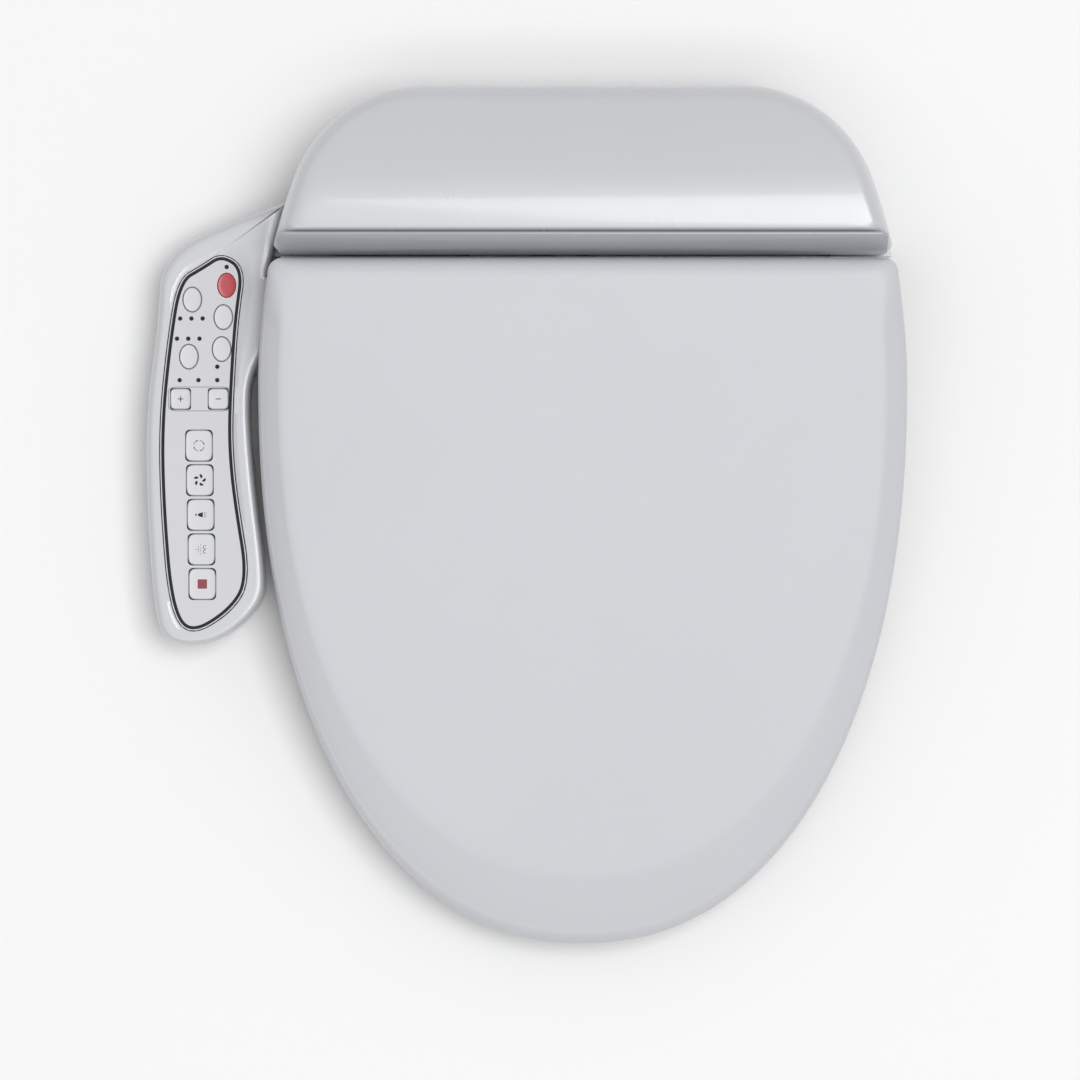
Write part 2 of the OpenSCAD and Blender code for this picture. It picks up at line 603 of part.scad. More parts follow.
// Outline of the ring's opening, grown by d: a superellipse
function ring_hole(d) = let (
        cy = (hole_y0 + hole_y1) / 2,
        b = (hole_y1 - hole_y0) / 2 + d)
    [for (i = [0:39]) let (t = 9 * i, c = cos(t), s = sin(t))
        [(ring_inner_w + d) * sign(c) * pow(abs(c), 0.85), cy + b * sign(s) * pow(abs(s), 0.85)]];
// A slab that follows the ring's slope, between two depths below its top
module ring_slab(d0, d1) let (y0 = ring_rear_y + 1, y1 = -front_reach - 1)
    across([[y0, ring_z(y0) - d0], [y1, ring_z(y1) - d0], [y1, ring_z(y1) - d1], [y0, ring_z(y0) - d1]],
        -half_w, half_w);
module ring_band(d) difference() {
    prism(ring_outer(d), 0, cover_h);
    prism(ring_hole(d), -1, cover_h + 1);
}
module seat_eye() across([[hinge_y - 3.5, hinge_z + 9.5], [ring_rear_y - 1.5, ring_z(ring_rear_y) - 0.5],
    [ring_rear_y - 1.5, ring_z(ring_rear_y) - ring_t + 5], [hinge_y - 6, hinge_z - 8.6]],
    seat_eye_x0, seat_eye_x1);
module seat_ring_top() color("#e4e5e7") difference() {
    union() {
        difference() {
            intersection() { ring_band(0); ring_slab(0, ring_t - 3.2); }
            intersection() { ring_band(ring_wall); ring_slab(ring_wall, ring_t); }
        }
        two_sides() {
            seat_eye();
            axle(eye_r, seat_eye_x0, seat_eye_x1);
        }
    }
    two_sides() {
        axle(pin_r + pin_gap, seat_eye_x0 - 1, seat_eye_x1 + 1);
        axle(damper_r, seat_eye_x0 - 1, seat_eye_x1 - 3);
    }
}
module seat_ring_base() color("#dadbdd") intersection() { ring_band(0.4); ring_slab(ring_t - 3, ring_t); }
module seat_heater() color("#b98b52") intersection() {
    ring_band(ring_wall + 4);
    ring_slab(ring_wall + 0.1, ring_wall + 0.9);
}
module bumper(x, y, w, d, top) box([x - w / 2, y - d / 2, 0], [x + w / 2, y + d / 2, top]);
module seat_bumpers() color("#8e9094") difference() {
    for (s = [-1, 1]) {
        bumper(s * (ring_half_w - 38), -190, 14, 34, 60);
        bumper(s * 72, hole_y0 - 16, 30, 14, 60);
    }
    ring_slab(-20, ring_t);
}
module damper(x0, x1) difference() {
    axle(damper_r - 0.02, x0, x1);
    axle(pin_r + pin_gap, x0 - 1, x1 + 1);
}
module seat_damper() color("#3d3f43") two_sides() damper(seat_eye_x0, seat_eye_x1 - 3.1);

// ---- Lid ----
function lid_top(y) = hinge_z + lip_r + lid_fall * (y - hinge_y);
function lid_edge(y) = y < -90 ? lid_side_z + (lid_tip_z - lid_side_z) * (y + 90) / (90 - front_reach)
    : let (t = min(1, (y + 90) / (90 - lid_rear_reach)))
        lid_side_z + (hinge_z - lid_side_z) * t * t * (3 - 2 * t);
function lid_ring(t, th, d) = let (
        outer = seat_pts(-lid_rear_reach - d, th, th, 9),
        crease = seat_pts(hinge_y, band_side + th, band_tip + th, 14))
    [for (i = [0:len(outer) - 1]) let (
        o = outer[i],
        c = crease[i],
        w = min(1, max(0, (o[1] + 90) / 30)),
        fx = w * (1 - cos(90 * t)) + (1 - w) * pow(t, 1.5),
        fz = w * sin(90 * t) + (1 - w) * pow(t, 0.8),
        q = o + (c - o) * fx)
        [q[0], q[1], lid_edge(o[1]) + (lid_top(c[1]) - th - lid_edge(o[1])) * fz]];
module lid_shell() color("#dddee1") loft(concat([for (i = [4:-1:0]) lid_ring(i / 4, lid_t, lid_t - 0.5)],
    [for (i = [0:4]) lid_ring(i / 4, 0, 0)]));
module lid_slab(d0, d1) let (y0 = hinge_y - 10, y1 = -front_reach)
    across([[y0, lid_top(y0) - d0], [y1, lid_top(y1) - d0], [y1, lid_top(y1) - d1], [y0, lid_top(y0) - d1]],
        -half_w, half_w);
liner_z = lid_t + 0.2;
module lid_liner() color("#d2d3d6") difference() {
    union() {
        intersection() {
            prism(seat_pts(hinge_y - 14, band_side + 12, band_tip + 12, 14), 0, cover_h);
            lid_slab(liner_z, liner_z + liner_t);
        }
        two_sides() {
            axle(eye_r, lid_eye_x0, lid_eye_x1);
            across([[hinge_y, hinge_z + 3], [hinge_y, hinge_z + eye_r - 0.2],
                [hinge_y - 44, lid_top(hinge_y - 44) - liner_z - 0.3],
                [hinge_y - 44, lid_top(hinge_y - 44) - liner_z - 8]], lid_eye_x0, lid_eye_x1);
        }
    }
    two_sides() {
        axle(pin_r + pin_gap, lid_eye_x0 - 1, lid_eye_x1 + 1);
        axle(damper_r, lid_eye_x0 + 3, lid_eye_x1 + 1);
    }
}
module lid_damper() color("#3d3f43") two_sides() damper(lid_eye_x0 + 3.1, lid_eye_x1);
lid_bumper_y = hole_y0 - 4;
module lid_bumpers() color("#9a9ca0") for (s = [-1, 1])
    drum(s * 60, lid_bumper_y, 6, ring_z(lid_bumper_y) + 0.8,
        lid_top(lid_bumper_y) - liner_z - liner_t - 0.7);

base_tray();
rear_cover();
hinge_trim();
nozzle_hood();
hinge_brackets();
hinge_pins();
bracket_screws();
base_feet();
water_tank();
tank_heater();
inlet_fitting();
solenoid_valve();
diverter_valve();
water_hoses();
nozzle_cylinders();
air_duct();
blower_housing();
blower_motor();
dryer_heater();
main_pcb();
transformer();
cord_gland();
arm_lower_case();
arm_upper_case();
panel_deck();
control_overlay();
overlay_line();
led_windows();
control_pcb();
key_switches();
oval_key(0);  // power_key
oval_key(1);  // water_temp_key
oval_key(2);  // seat_temp_key
oval_key(3);  // pressure_key
oval_key(4);  // position_key
step_key(0);  // plus_key
step_key(1);  // minus_key
main_key(0);  // auto_key
main_key(1);  // dry_key
main_key(2);  // bidet_key
main_key(3);  // clean_key
main_key(4);  // stop_key
release_button();
mounting_plate();
slot_washers();
rear_nozzle();
front_nozzle();
spray_tip(-1);  // rear_spray_tip
spray_tip(1);  // front_spray_tip
blower_impeller();
dryer_flap();
seat_ring_top();
seat_ring_base();
seat_heater();
seat_bumpers();
seat_damper();
lid_shell();
lid_liner();
lid_bumpers();
lid_damper();
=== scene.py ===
"""Electric bidet seat: housing with a side control arm, seat ring and lid, dressed round its frame."""
import json
import logging
import math
from dataclasses import dataclass, field
from enum import Enum

import bmesh
import bpy
import numpy as np
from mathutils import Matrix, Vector


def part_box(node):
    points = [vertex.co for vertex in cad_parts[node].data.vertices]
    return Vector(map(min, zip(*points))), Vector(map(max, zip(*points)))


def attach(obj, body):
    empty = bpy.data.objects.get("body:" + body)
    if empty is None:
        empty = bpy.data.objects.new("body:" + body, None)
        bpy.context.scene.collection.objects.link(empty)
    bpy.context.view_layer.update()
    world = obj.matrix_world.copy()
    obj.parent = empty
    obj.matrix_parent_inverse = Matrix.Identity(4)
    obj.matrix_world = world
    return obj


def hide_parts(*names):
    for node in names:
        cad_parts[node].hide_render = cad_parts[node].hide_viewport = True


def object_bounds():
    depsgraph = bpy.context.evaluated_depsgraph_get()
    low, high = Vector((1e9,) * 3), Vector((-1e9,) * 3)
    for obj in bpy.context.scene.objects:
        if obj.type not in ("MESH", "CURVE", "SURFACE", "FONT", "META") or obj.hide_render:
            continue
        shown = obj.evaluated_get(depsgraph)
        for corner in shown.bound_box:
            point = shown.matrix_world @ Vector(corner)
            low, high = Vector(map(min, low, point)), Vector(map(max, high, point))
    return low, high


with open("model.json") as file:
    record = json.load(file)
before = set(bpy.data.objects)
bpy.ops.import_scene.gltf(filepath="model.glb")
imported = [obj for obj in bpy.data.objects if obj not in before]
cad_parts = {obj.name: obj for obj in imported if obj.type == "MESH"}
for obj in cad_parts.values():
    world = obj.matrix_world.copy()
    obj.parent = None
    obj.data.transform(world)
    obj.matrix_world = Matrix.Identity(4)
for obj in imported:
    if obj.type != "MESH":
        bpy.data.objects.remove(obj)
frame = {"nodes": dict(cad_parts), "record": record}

CAD_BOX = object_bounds()
LOG = logging.getLogger("bidet_seat")
MM = 0.001
Array = np.ndarray


# ---------------------------------------------------------------- finishes

def linear(hex_colour: str) -> tuple[float, float, float, float]:
    """Turn an sRGB hex colour into the linear colour that a shader reads.

    Args:
        hex_colour: six hex digits after a hash.
    Returns:
        Red, green and blue in linear light, and full opacity.
    """
    parts = [int(hex_colour[i:i + 2], 16) / 255 for i in (1, 3, 5)]
    return tuple(c / 12.92 if c <= 0.04045 else ((c + 0.055) / 1.055) ** 2.4 for c in parts) + (1.0,)


def add_node(tree: bpy.types.NodeTree, kind: str, settings: dict | None = None, inputs: dict | None = None,
             links: dict | None = None) -> bpy.types.Node:
    """Add one node to a tree, with its settings, its input values and its links.

    Args:
        tree: the node tree.
        kind: the node's type name.
        settings: attributes to set on the node.
        inputs: input socket name or number to value.
        links: input socket name or number to the output socket that feeds it.
    Returns:
        The new node.
    """
    node = tree.nodes.new(kind)
    for key, value in (settings or {}).items():
        setattr(node, key, value)
    for key, value in (inputs or {}).items():
        node.inputs[key].default_value = value
    for key, source in (links or {}).items():
        tree.links.new(source, node.inputs[key])
    return node


def add_noise(tree: bpy.types.NodeTree, scale: float, detail: float,
              place: bpy.types.NodeSocket) -> bpy.types.NodeSocket:
    """Add a noise texture that reads a place, and return its grey value."""
    inputs = {"Scale": scale, "Detail": detail}
    return add_node(tree, "ShaderNodeTexNoise", inputs=inputs, links={"Vector": place}).outputs["Fac"]


class Grain(Enum):
    """What a surface's fine relief is."""

    PEEL = "flow marks of gloss moulding"
    SPARK = "spark-eroded mould texture"
    BRUSHED = "fine drawn lines"
    FILM = "printed film"


@dataclass(frozen=True)
class Finish:
    """One real material and how its surface was made.

    Attributes:
        name: common name and process.
        colour: base sRGB colour.
        shade: second sRGB colour that slow variation leans to.
        roughness: middle roughness.
        spread: how far roughness varies each way.
        grain: the kind of fine relief.
        grain_mm: size of the relief's cells in millimetres.
        relief_mm: height of the relief in millimetres.
        metallic: 1 for bare metal.
        ior: index of refraction, for what isn't metal.
        coat: clear gloss over the body colour.
        glow: subsurface weight of a translucent plastic.
        drift_scale: cells of slow colour drift in a metre.
        wear_scale: cells of change in roughness in a metre.
    """

    name: str
    colour: str
    shade: str
    roughness: float = 0.3
    spread: float = 0.03
    grain: Grain = Grain.PEEL
    grain_mm: float = 3.0
    relief_mm: float = 0.01
    metallic: float = 0.0
    ior: float = 1.5
    coat: float = 0.0
    glow: float = 0.0
    drift_scale: float = 9.0
    wear_scale: float = 34.0

    def make(self) -> bpy.types.Material:
        """Build the material: slow colour drift, wear in roughness, and relief from the grain.

        Returns:
            The material, made once and found again by name.
        """
        found = bpy.data.materials.get(self.name)
        if found:
            return found
        material = bpy.data.materials.new(self.name)
        material.use_nodes = True
        tree = material.node_tree
        shader = tree.nodes["Principled BSDF"]
        shader.inputs["Metallic"].default_value = self.metallic
        if not self.metallic:
            shader.inputs["IOR"].default_value = self.ior
        shader.inputs["Coat Weight"].default_value = self.coat
        shader.inputs["Coat Roughness"].default_value = 0.08
        shader.inputs["Subsurface Weight"].default_value = self.glow
        shader.inputs["Subsurface Scale"].default_value = 2 * MM
        place = add_node(tree, "ShaderNodeTexCoord").outputs["Object"]
        stretch = (1.0, 30.0, 30.0) if self.grain is Grain.BRUSHED else (1.0, 1.0, 1.0)
        spot = add_node(tree, "ShaderNodeMapping", inputs={"Scale": stretch}, links={"Vector": place})
        drift = add_noise(tree, self.drift_scale, 3.0, place)
        mix = add_node(tree, "ShaderNodeMix", {"data_type": "RGBA"},
                       {6: linear(self.colour), 7: linear(self.shade)}, {0: drift})
        tree.links.new(mix.outputs[2], shader.inputs["Base Color"])
        handled = add_noise(tree, self.wear_scale, 4.0, place)
        rough = add_node(tree, "ShaderNodeMapRange", inputs={
            "To Min": max(0.02, self.roughness - self.spread), "To Max": self.roughness + self.spread},
            links={"Value": handled})
        tree.links.new(rough.outputs["Result"], shader.inputs["Roughness"])
        fine = 2.0 if self.grain is Grain.PEEL else 5.0
        cells = add_noise(tree, 1 / (self.grain_mm * MM), fine, spot.outputs["Vector"])
        relief = add_node(tree, "ShaderNodeBump", inputs={"Strength": 1.0, "Distance": self.relief_mm * MM},
                          links={"Height": cells})
        tree.links.new(relief.outputs["Normal"], shader.inputs["Normal"])
        return material


# Injection-moulded gloss ABS: near white with a cool cast, slow flow marks that bend its reflections
WHITE_SHELL = Finish("ABS moulded gloss white", "#cacbce", "#c5c6c9", 0.28, 0.03,
                     relief_mm=0.006, ior=1.55, coat=0.3)
# The lid and ring are polypropylene: a little softer in gloss, slightly translucent
WHITE_LID = Finish("Polypropylene moulded lid white", "#d0d1d5", "#cccdd1", 0.42, 0.03,
                   relief_mm=0.006, ior=1.4, glow=0.04)
WHITE_RING = Finish("Polypropylene moulded ring white", "#d6d7d8", "#d1d2d4", 0.28, 0.03,
                    relief_mm=0.006, glow=0.04)
# Lacquered strip: cool grey, its darkness partly painted shade of the steep face between cover and lid;
# smooth, so it shows soft level streaks of what it reflects
GREY_TRIM_PAINTED_SHADE = Finish("ABS lacquered cool grey", "#b1b3b9", "#a8aab0", 0.2, 0.04, grain_mm=6.0,
                   relief_mm=0.01, coat=0.5)
# Polyester overlay film: satin, with the fine grain of a hard coat
PANEL_FILM = Finish("Polyester film satin", "#d0d0d3", "#cccccf", 0.42, 0.03, Grain.FILM, 0.5, 0.004)
BLACK_PRINT = Finish("Screen print black", "#1d1f23", "#26282c", 0.6, 0.04, Grain.FILM, 0.4, 0.003,
                     ior=1.3)
GREY_PRINT = Finish("Screen print grey", "#8f9299", "#9a9da4", 0.6, 0.04, Grain.FILM, 0.4, 0.003, ior=1.3)
DARK_PRINT = Finish("Screen print dark grey", "#55585f", "#5f6269", 0.6, 0.04, Grain.FILM, 0.4, 0.003,
                    ior=1.3)
RED_PRINT = Finish("Screen print dark red", "#7d1730", "#8c1c34", 0.4, 0.04, Grain.FILM, 0.4, 0.003)
WHITE_KEY = Finish("Silicone hard-coated key white", "#d5d5d8", "#d0d0d4", 0.35, 0.03, Grain.FILM, 0.6,
                   0.004, glow=0.05)
RED_KEY = Finish("Silicone hard-coated key red", "#c01f30", "#ac1a2a", 0.33, 0.03, Grain.FILM, 0.6, 0.004,
                 coat=0.2)
RUBBER = Finish("Rubber moulded grey", "#73757a", "#6a6c71", 0.72, 0.05, Grain.SPARK, 0.7, 0.02)
STEEL = Finish("Stainless steel drawn", "#b3b5b8", "#a6a8ac", 0.3, 0.06, Grain.BRUSHED, 1.2, 0.004,
               metallic=1.0)
INNER = Finish("Polypropylene moulded natural", "#d6d5cd", "#cbcac2", 0.45, 0.05, Grain.SPARK, 0.9, 0.012,
               glow=0.06)
DARK = Finish("Nylon glass-filled black", "#2a2b2e", "#323437", 0.55, 0.06, Grain.SPARK, 0.8, 0.015)
BOARD = Finish("Epoxy glass board green", "#1f5a38", "#27683f", 0.35, 0.05, Grain.FILM, 1.0, 0.01)
COPPER = Finish("Copper enamelled wire", "#a3602f", "#8e5026", 0.35, 0.06, Grain.BRUSHED, 1.5, 0.03,
                metallic=1.0)
FOIL = Finish("Aluminium foil embossed", "#bdb39c", "#aca28b", 0.38, 0.08, Grain.SPARK, 2.0, 0.05,
              metallic=1.0)
NOZZLE = Finish("Acetal turned white", "#ecece8", "#e2e2dd", 0.28, 0.04, Grain.BRUSHED, 2.0, 0.004,
                glow=0.04)

FINISH_OF_SLOT: dict[str, Finish] = {
    "white_shell": WHITE_SHELL, "white_lid": WHITE_LID, "white_ring": WHITE_RING, "grey_trim": GREY_TRIM_PAINTED_SHADE,
    "panel_film": PANEL_FILM, "black_print": BLACK_PRINT, "white_key": WHITE_KEY, "red_key": RED_KEY,
    "grey_rubber": RUBBER, "steel": STEEL, "inner_plastic": INNER, "dark_plastic": DARK,
    "circuit_board": BOARD, "copper_coil": COPPER, "heater_foil": FOIL, "nozzle_white": NOZZLE,
}


# ---------------------------------------------------------------- surfaces

def smoothstep(x: Array) -> Array:
    """Ease from 0 to 1 with level ends: 3x squared less 2x cubed, x held between 0 and 1."""
    x = np.clip(x, 0, 1)
    return x * x * (3 - 2 * x)


def signed_power(x: Array, k: float) -> Array:
    """Raise the size of x to the power k and keep its sign, as a superellipse needs."""
    return np.sign(x) * np.abs(x) ** k


def cut_corners(points: Array, rounds: int = 4) -> Array:
    """Smooth a closed outline by cutting corners: each edge keeps its points at one and three quarters.

    Args:
        points: corner points, shape (n, 2).
        rounds: how many times each corner is cut.
    Returns:
        The smooth outline, with 2 ** rounds points for each corner.
    """
    for _ in range(rounds):
        after = np.roll(points, -1, axis=0)
        points = np.stack([0.75 * points + 0.25 * after, 0.25 * points + 0.75 * after], 1).reshape(-1, 2)
    return points


def inset(points: Array, distance: float | Array) -> Array:
    """Move each point of an anticlockwise outline inwards along its normal.

    Args:
        points: outline, shape (n, 2).
        distance: how far in, one value or one for each point.
    Returns:
        The moved outline.
    """
    run = np.roll(points, -1, axis=0) - np.roll(points, 1, axis=0)
    run = run / np.linalg.norm(run, axis=1, keepdims=True)
    normal = np.stack([-run[:, 1], run[:, 0]], 1)
    return points + normal * np.broadcast_to(np.asarray(distance, float), (len(points),))[:, None]


def resample(points: Array, count: int) -> Array:
    """Space a closed outline's points evenly, by its running length and straight lines between points."""
    closed = np.vstack([points, points[:1]])
    run = np.concatenate([[0], np.cumsum(np.linalg.norm(np.diff(closed, axis=0), axis=1))])
    at = np.linspace(0, run[-1], count, endpoint=False)
    return np.stack([np.interp(at, run, closed[:, k]) for k in range(points.shape[1])], 1)


def lift(points: Array, z: float | Array) -> Array:
    """Give a flat outline its height z, and so a third column."""
    return np.column_stack([points, np.broadcast_to(np.asarray(z, float), (len(points),))])


def soften_profile(rings: Array, passes: int) -> Array:
    """Round the creases that run along stacked rings.

    Each inner ring moves to a quarter of its two neighbours plus half of itself, once for each pass.
    """
    for _ in range(passes):
        rings[1:-1] = 0.25 * rings[:-2] + 0.5 * rings[1:-1] + 0.25 * rings[2:]
    return rings


def round_edge(radius: float, steps: int) -> list[tuple[float, float]]:
    """Share out a quarter round, from the side that it leaves to the face that it meets.

    Args:
        radius: radius of the round.
        steps: points along it.
    Returns:
        For each point, how far it lies in from the side and how far short of the face.
    """
    turn = np.linspace(0, math.pi / 2, steps)
    return [(radius * (1 - math.cos(a)), radius * (1 - math.sin(a))) for a in turn]


class Ends(Enum):
    """How a stack of rings is closed."""

    POLES = "each end runs in to one point"
    LOOP = "the last ring joins the first"


def skin(name: str, rings: Array, ends: Ends, poles: tuple[Array, Array] | None = None,
         sharp_deg: float = 38.0) -> bpy.types.Object:
    """Make a closed mesh from stacked rings, wound so that faces point out when rings climb anticlockwise.

    Args:
        name: the object's name.
        rings: points, shape (rings, points in each, 3).
        ends: how the stack closes.
        poles: the first and last pole, for Ends.POLES. Each is a ring's mean where not given.
        sharp_deg: edges over this angle stay sharp.
    Returns:
        The new object, at the origin.
    """
    m, n, _ = rings.shape
    grid = np.arange(m * n).reshape(m, n)
    lower = grid if ends is Ends.LOOP else grid[:-1]
    upper = np.roll(grid, -1, axis=0) if ends is Ends.LOOP else grid[1:]
    quads = np.stack([lower, np.roll(lower, -1, axis=1), np.roll(upper, -1, axis=1), upper], -1)
    verts = rings.reshape(-1, 3)
    faces = quads.reshape(-1, 4).tolist()
    if ends is Ends.POLES:
        first, last = poles if poles is not None else (rings[0].mean(0), rings[-1].mean(0))
        verts = np.vstack([verts, first, last])
        low, high = grid[0], grid[-1]
        faces += np.stack([np.roll(low, -1), low, np.full(n, m * n)], 1).tolist()
        faces += np.stack([high, np.roll(high, -1), np.full(n, m * n + 1)], 1).tolist()
    return as_object(name, verts, faces, sharp_deg)


def as_object(name: str, verts: Array, faces: list, sharp_deg: float) -> bpy.types.Object:
    """Put vertices and faces into a new smooth-shaded object.

    Args:
        name: the object's name.
        verts: points, shape (n, 3).
        faces: lists of vertex numbers.
        sharp_deg: edges over this angle stay sharp.
    Returns:
        The new object.
    """
    mesh = bpy.data.meshes.new(name)
    mesh.from_pydata(verts.tolist(), [], faces)
    mesh.validate()
    mesh.shade_smooth()
    mesh.set_sharp_from_angle(angle=math.radians(sharp_deg))
    piece = bpy.data.objects.new(name, mesh)
    bpy.context.scene.collection.objects.link(piece)
    return piece


def dress(piece: bpy.types.Object, finish: Finish, body: str, slot: str, *nodes: str) -> bpy.types.Object:
    """Give a piece its finish, its body and the CAD nodes that it stands for.

    Args:
        piece: the object.
        finish: its finish.
        body: the body that it moves with.
        slot: the record's material slot; not used.
        nodes: CAD nodes that it replaces.
    Returns:
        The same piece.
    """
    piece.data.materials.clear()
    piece.data.materials.append(finish.make())
    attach(piece, body)
    if nodes:
        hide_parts(*nodes)
    LOG.info("%-24s %6d faces, rides on %s", piece.name, len(piece.data.polygons), body)
    return piece


# ---------------------------------------------------------------- the object's own outlines

@dataclass
class Plan:
    """Plan outlines of the seat and its housing, mirrored about the centre line.

    The side is one large arc tangent to a smaller corner arc behind it, and a superellipse in front of it.

    Attributes:
        half_w: half width at the widest line.
        front: reach of the front tip.
        back: reach of the straight back edge.
        wide: reach of the widest line.
        run: from the widest line in to the end of the back edge.
        corner: radius of the back corners.
        power: exponent of the front's superellipse.
    """

    half_w: float
    front: float
    back: float
    wide: float = 127.5 * MM
    run: float = 99 * MM
    corner: float = 82 * MM
    power: float = 2.2
    side: float = field(init=False)
    join: float = field(init=False)

    def __post_init__(self) -> None:
        """Work out the side arc: its radius makes it tangent to the corner arc."""
        q = self.back - self.corner + self.wide
        self.side = (self.corner ** 2 - self.run ** 2 - q ** 2) / (2 * (self.corner - self.run))
        self.join = math.atan2(q, self.side - self.run)

    def side_x(self, y: Array | float, d: float = 0.0) -> Array | float:
        """Half width at y behind the widest line, moved in by d: a point on the side arc."""
        return self.half_w - self.side + np.sqrt((self.side - d) ** 2 - (np.asarray(y) + self.wide) ** 2)

    def front_x(self, y: Array | float, d: float = 0.0) -> Array | float:
        """Half width at y before the widest line, moved in by d: a point on the superellipse."""
        reach = np.clip((-self.wide - np.asarray(y)) / (self.front - self.wide - d), 0, 1)
        return (self.half_w - d) * (1 - reach ** self.power) ** (1 / self.power)

    @staticmethod
    def both(right: Array) -> Array:
        """Close a right-hand run of points with its mirror image, anticlockwise."""
        return np.vstack([right, right[::-1] * [-1, 1]])

    def housing(self, y0: float, d: float = 0.0, corner: float = 4 * MM) -> Array:
        """Outline of the housing from a straight front edge at y0, moved in by d.

        Args:
            y0: where its front edge is.
            d: how far the rest is moved in.
            corner: radius of its two front corners.
        Returns:
            The outline, anticlockwise, from the middle of the front edge.
        """
        xc = float(self.side_x(y0 + corner, d)) - corner
        straight = np.column_stack([np.linspace(4 * MM, xc, 24, endpoint=False), np.full(24, y0)])
        t = np.linspace(-math.pi / 2, 0, 8)
        nose = np.column_stack([xc + corner * np.cos(t), y0 + corner + corner * np.sin(t)])
        t = np.linspace(math.asin((y0 + corner + self.wide) / (self.side - d)), self.join, 16)[1:]
        flank = np.column_stack([self.half_w - self.side + (self.side - d) * np.cos(t),
                                 -self.wide + (self.side - d) * np.sin(t)])
        t = np.linspace(self.join, math.pi / 2, 30)[1:]
        bend = np.column_stack([self.half_w - self.run + (self.corner - d) * np.cos(t),
                                self.back - self.corner + (self.corner - d) * np.sin(t)])
        x = np.linspace(self.half_w - self.run, 4 * MM, 12)[1:]
        rear = np.column_stack([x, np.full(11, self.back - d)])
        return self.both(np.vstack([straight, nose, flank, bend, rear]))

    def seat(self, y1: float, d: float, e: float, corner: float) -> Array:
        """Outline of a seat-shaped plate with a straight rear edge at y1.

        Args:
            y1: where its rear edge is.
            d: how far the sides are moved in.
            e: how far the front tip is moved in.
            corner: radius of its rear corners.
        Returns:
            The outline, anticlockwise, from the front tip.
        """
        t = np.linspace(0, math.pi / 2, 57)[:-1]
        k = 2 / self.power
        front = np.column_stack([(self.half_w - d) * np.sin(t) ** k,
                                 -self.wide - (self.front - self.wide - e) * np.cos(t) ** k])
        front[0, 0] = 0.4 * MM
        yc = y1 - corner
        xc = float(self.side_x(yc, d)) - corner
        y = np.linspace(-self.wide, yc, 16)[:-1]
        t = np.linspace(0, math.pi / 2, 12)
        bend = np.column_stack([xc + corner * np.cos(t), yc + corner * np.sin(t)])
        rear = np.column_stack([np.linspace(xc, 3 * MM, 16)[1:], np.full(15, y1)])
        return self.both(np.vstack([front, np.column_stack([self.side_x(y, d), y]), bend, rear]))


@dataclass
class Hinge:
    """The one axis that the ring and the lid turn on."""

    y: float
    z: float


def joint_place(name: str) -> tuple[float, float, float]:
    """Where the record puts a joint."""
    return tuple(next(j for j in frame["record"]["behaviour"]["joints"] if j["name"] == name)["pos_m"])


def edges(node: str) -> tuple[Array, Array]:
    """Lowest and highest corners of a CAD node."""
    low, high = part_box(node)
    return np.array(low), np.array(high)


# ---------------------------------------------------------------- lid

